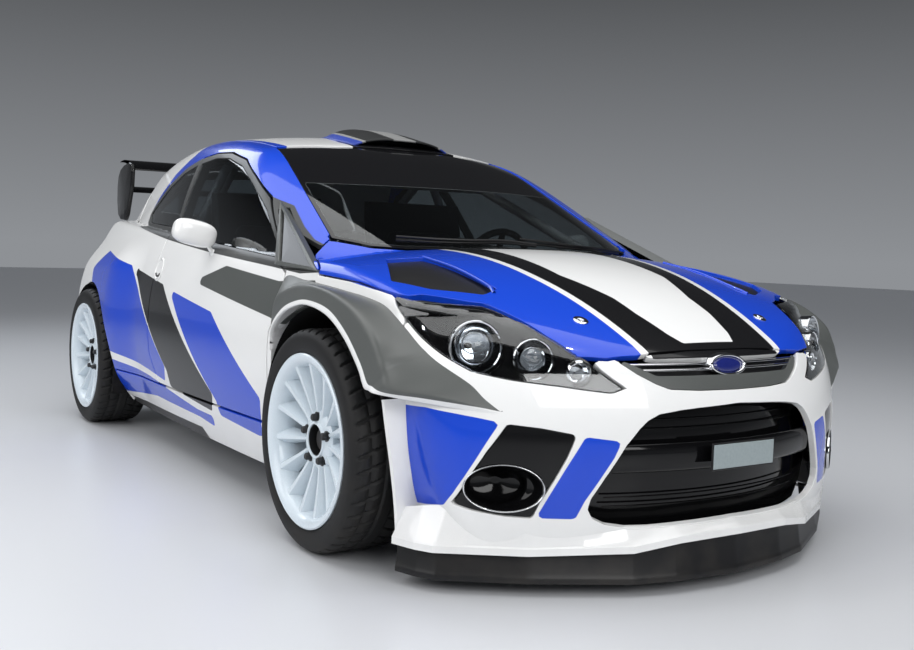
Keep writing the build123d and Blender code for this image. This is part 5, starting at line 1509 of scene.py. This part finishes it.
PIN_PROFILE = ((0.021, -0.002), (0.021, 0.0015), (0.019, 0.0028), (0.010, 0.0030), (0.009, 0.0065),
               (0.0045, 0.0075), (0.0005, 0.0076))
JACK_SHADE_PROFILE = ((0.022, -0.002), (0.022, 0.0012), (0.019, 0.0016), (0.017, 0.0004), (0.0005, 0.0002))
RIDGE = ((1.1303, -0.498), (1.300, -0.4925), (1.4595, -0.4897), (1.5138, -0.5034))
skin_button("bonnet_pin", PIN_PROFILE, cast(np.array((1.700, -0.350, 0.45)), UP), CHROME, "bonnet")
side_pair("bonnet_ridge", *rod(raised(RIDGE), 0.0055, 60, 10), BLUE_PAINT, "bonnet", "body_paint")
# The jacking socket is a hole; its satin black disc is painted shade standing in for the dark inside of the
# hole.
skin_button("jack_point", JACK_SHADE_PROFILE, cast(np.array((0.459, -0.2, 0.158)), RIGHTWARD), SATIN_BLACK, "body")
WIPERS = {"wiper_right": ((1.004, 0.020), (0.984, -0.100), (0.968, -0.240), (0.930, -0.360), (0.884, -0.455)),
          "wiper_left": ((0.930, 0.455), (0.975, 0.330), (0.992, 0.200), (0.994, 0.080), (0.984, -0.040))}
for name, line in WIPERS.items():
    foot = raised(line, 0.8)
    normal = body_normal(foot)
    arm_line = foot + normal * np.linspace(0.016, 0.024, len(line))[:, None]
    blades = [rod(foot + normal * 0.011, 0.0055, 50, 8), rod(arm_line, 0.0045, 50, 8)]
    place(name, *merged(blades), SATIN_BLACK, "body", "grille_plastic")

# Round handle recesses of the doors: rings (radius, height off the skin), and in each a satin black rod along
# the slit, painted shade of its opening
HANDLE_X, HANDLE_Z = -0.380, 0.762
radius, lift = np.transpose(((0.048, 0.0006), (0.046, 0.003), (0.042, 0.0045), (0.038, 0.003),
                             (0.034, -0.001), (0.030, -0.003), (0.001, -0.004)))
angle = np.linspace(0, 2 * math.pi, 48, endpoint=False)[:, None]
dish = cast(at_points(HANDLE_X + np.cos(angle) * radius * 1.05, -0.2, HANDLE_Z + np.sin(angle) * radius),
            RIGHTWARD)
dish[..., Y] -= lift
side_pair("door_handle", *grid_mesh(dish, inside_out=True, wrap_rows=True), WHITE_PAINT, "door_right",
          "body_paint")
t = np.linspace(-1, 1, 20)
slit = cast(at_points(HANDLE_X + 0.026 * t, -0.2, HANDLE_Z - 0.018 - 0.010 * (1 - t ** 2)), RIGHTWARD)
# The rod is painted shade: a dark bar standing in for the shadowed opening of the handle's slit.
side_pair("door_handle_slit", *rod(slit, 0.004, 30, 8), SATIN_BLACK, "door_right", "grille_plastic")

# CAD pieces that stay as they are
CAD_LOOKS = {
    "sills": SATIN_BLACK,
    "front_suspension": ARM_PAINT, "rear_suspension": ARM_PAINT, "knuckle_right": ARM_PAINT,
    "knuckle_left": ARM_PAINT, "floor_pan": FLOOR_PAINT, "engine_block": ALLOY, "exhaust": STEEL,
    "seats": FABRIC, "dashboard": PLASTIC, "steering_wheel": PLASTIC, "roll_cage": CAGE,
}
CAD_LOOKS.update({name: DISC for name in nodes if "brake_disc" in name})
for name, look in CAD_LOOKS.items():
    nodes[name].data.materials.clear()
    nodes[name].data.materials.append(look)

# Lamps, floor, sky and camera
bpy.ops.mesh.primitive_plane_add(size=60)
floor = bpy.context.object
floor.name = "stage_floor"
floor_look = bpy.data.materials.new("stage_floor")
floor_look.use_nodes = True
floor_shader = floor_look.node_tree.nodes["Principled BSDF"]
floor_shader.inputs["Base Color"].default_value = (0.62, 0.63, 0.65, 1)
floor_shader.inputs["Roughness"].default_value = 0.35
floor.data.materials.append(floor_look)


def lamp(name, place_at, aim, size, power, color=(1, 1, 1)):
    """Rectangular lamp that points at a place."""
    data = bpy.data.lights.new(name, "AREA")
    data.shape = "RECTANGLE"
    data.size, data.size_y = size
    data.energy = power
    data.color = color
    made = bpy.data.objects.new(name, data)
    bpy.context.scene.collection.objects.link(made)
    made.location = place_at
    made.rotation_euler = (Vector(aim) - Vector(place_at)).to_track_quat("-Z", "Y").to_euler()


lamp("top_lamp", (0.6, -0.4, 4.8), (0.2, 0, 0.6), (8.0, 5.0), 200)
lamp("side_lamp", (1.2, -6.0, 3.4), (0.2, -0.4, 0.6), (7.0, 3.0), 165)
lamp("front_lamp", (7.0, -0.8, 3.2), (1.2, 0, 0.5), (4.0, 2.4), 150)
lamp("back_lamp", (-5.5, -1.6, 4.4), (-0.8, 0, 0.8), (4.0, 2.4), 90, (0.88, 0.93, 1.0))
for index, at in enumerate(((1.6, -2.6, 3.6), (0.2, -2.2, 4.2), (2.6, 0.4, 3.9))):
    lamp(f"spot_{index}", at, (0.6, -0.2, 0.6), (0.10, 0.10), 7)

world = bpy.data.worlds.new("stage_world")
bpy.context.scene.world = world
world.use_nodes = True
tree = world.node_tree
tree.nodes.clear()
path = node(tree, "LightPath").outputs
direct = node(tree, "TexCoord").outputs["Generated"]
height = node(tree, "SeparateXYZ", {0: direct}).outputs[2]
dimming = node(tree, "MapRange", {"Value": height, "From Min": 0.0, "From Max": 0.32, "To Min": 0.30,
                                  "To Max": 0.03}).outputs[0]
seen = node(tree, "Background", {"Color": (0.90, 0.94, 1.0, 1), "Strength": dimming})
lit = node(tree, "Background", {"Color": (0.90, 0.94, 1.0, 1), "Strength": 0.32})
straight = calc(tree, "MAXIMUM", path["Is Camera Ray"], path["Is Glossy Ray"])
straight = calc(tree, "MAXIMUM", straight, path["Is Transmission Ray"])
surroundings = node(tree, "MixShader", {0: straight, 1: lit.outputs[0], 2: seen.outputs[0]})
node(tree, "OutputWorld", {0: surroundings.outputs[0]})

# The camera that the photograph was taken with: place, turn about the vertical, tilt and roll in radians
CAMERA = (3.85443757, -2.15515231, 0.869994972)
YAW, PITCH, ROLL = 0.580219848, -0.0700693573, 0.0292483743
FOCAL_PIXELS, PICTURE_WIDTH, SENSOR_WIDTH = 1050.84909, 914, 36
forward = Vector((-math.cos(YAW) * math.cos(PITCH), math.sin(YAW) * math.cos(PITCH), math.sin(PITCH)))
flat_right = forward.cross(Vector(UP)).normalized()
flat_up = flat_right.cross(forward)
right = flat_right * math.cos(ROLL) + flat_up * math.sin(ROLL)
up = -flat_right * math.sin(ROLL) + flat_up * math.cos(ROLL)
camera_data = bpy.data.cameras.new("camera")
camera_data.sensor_width = SENSOR_WIDTH
camera_data.lens = FOCAL_PIXELS * SENSOR_WIDTH / PICTURE_WIDTH
camera = bpy.data.objects.new("camera", camera_data)
bpy.context.scene.collection.objects.link(camera)
camera.matrix_world = Matrix(((right.x, up.x, -forward.x, CAMERA[0]), (right.y, up.y, -forward.y, CAMERA[1]),
                              (right.z, up.z, -forward.z, CAMERA[2]), (0, 0, 0, 1)))
bpy.context.scene.camera = camera
bpy.context.scene.view_settings.view_transform = "Standard"
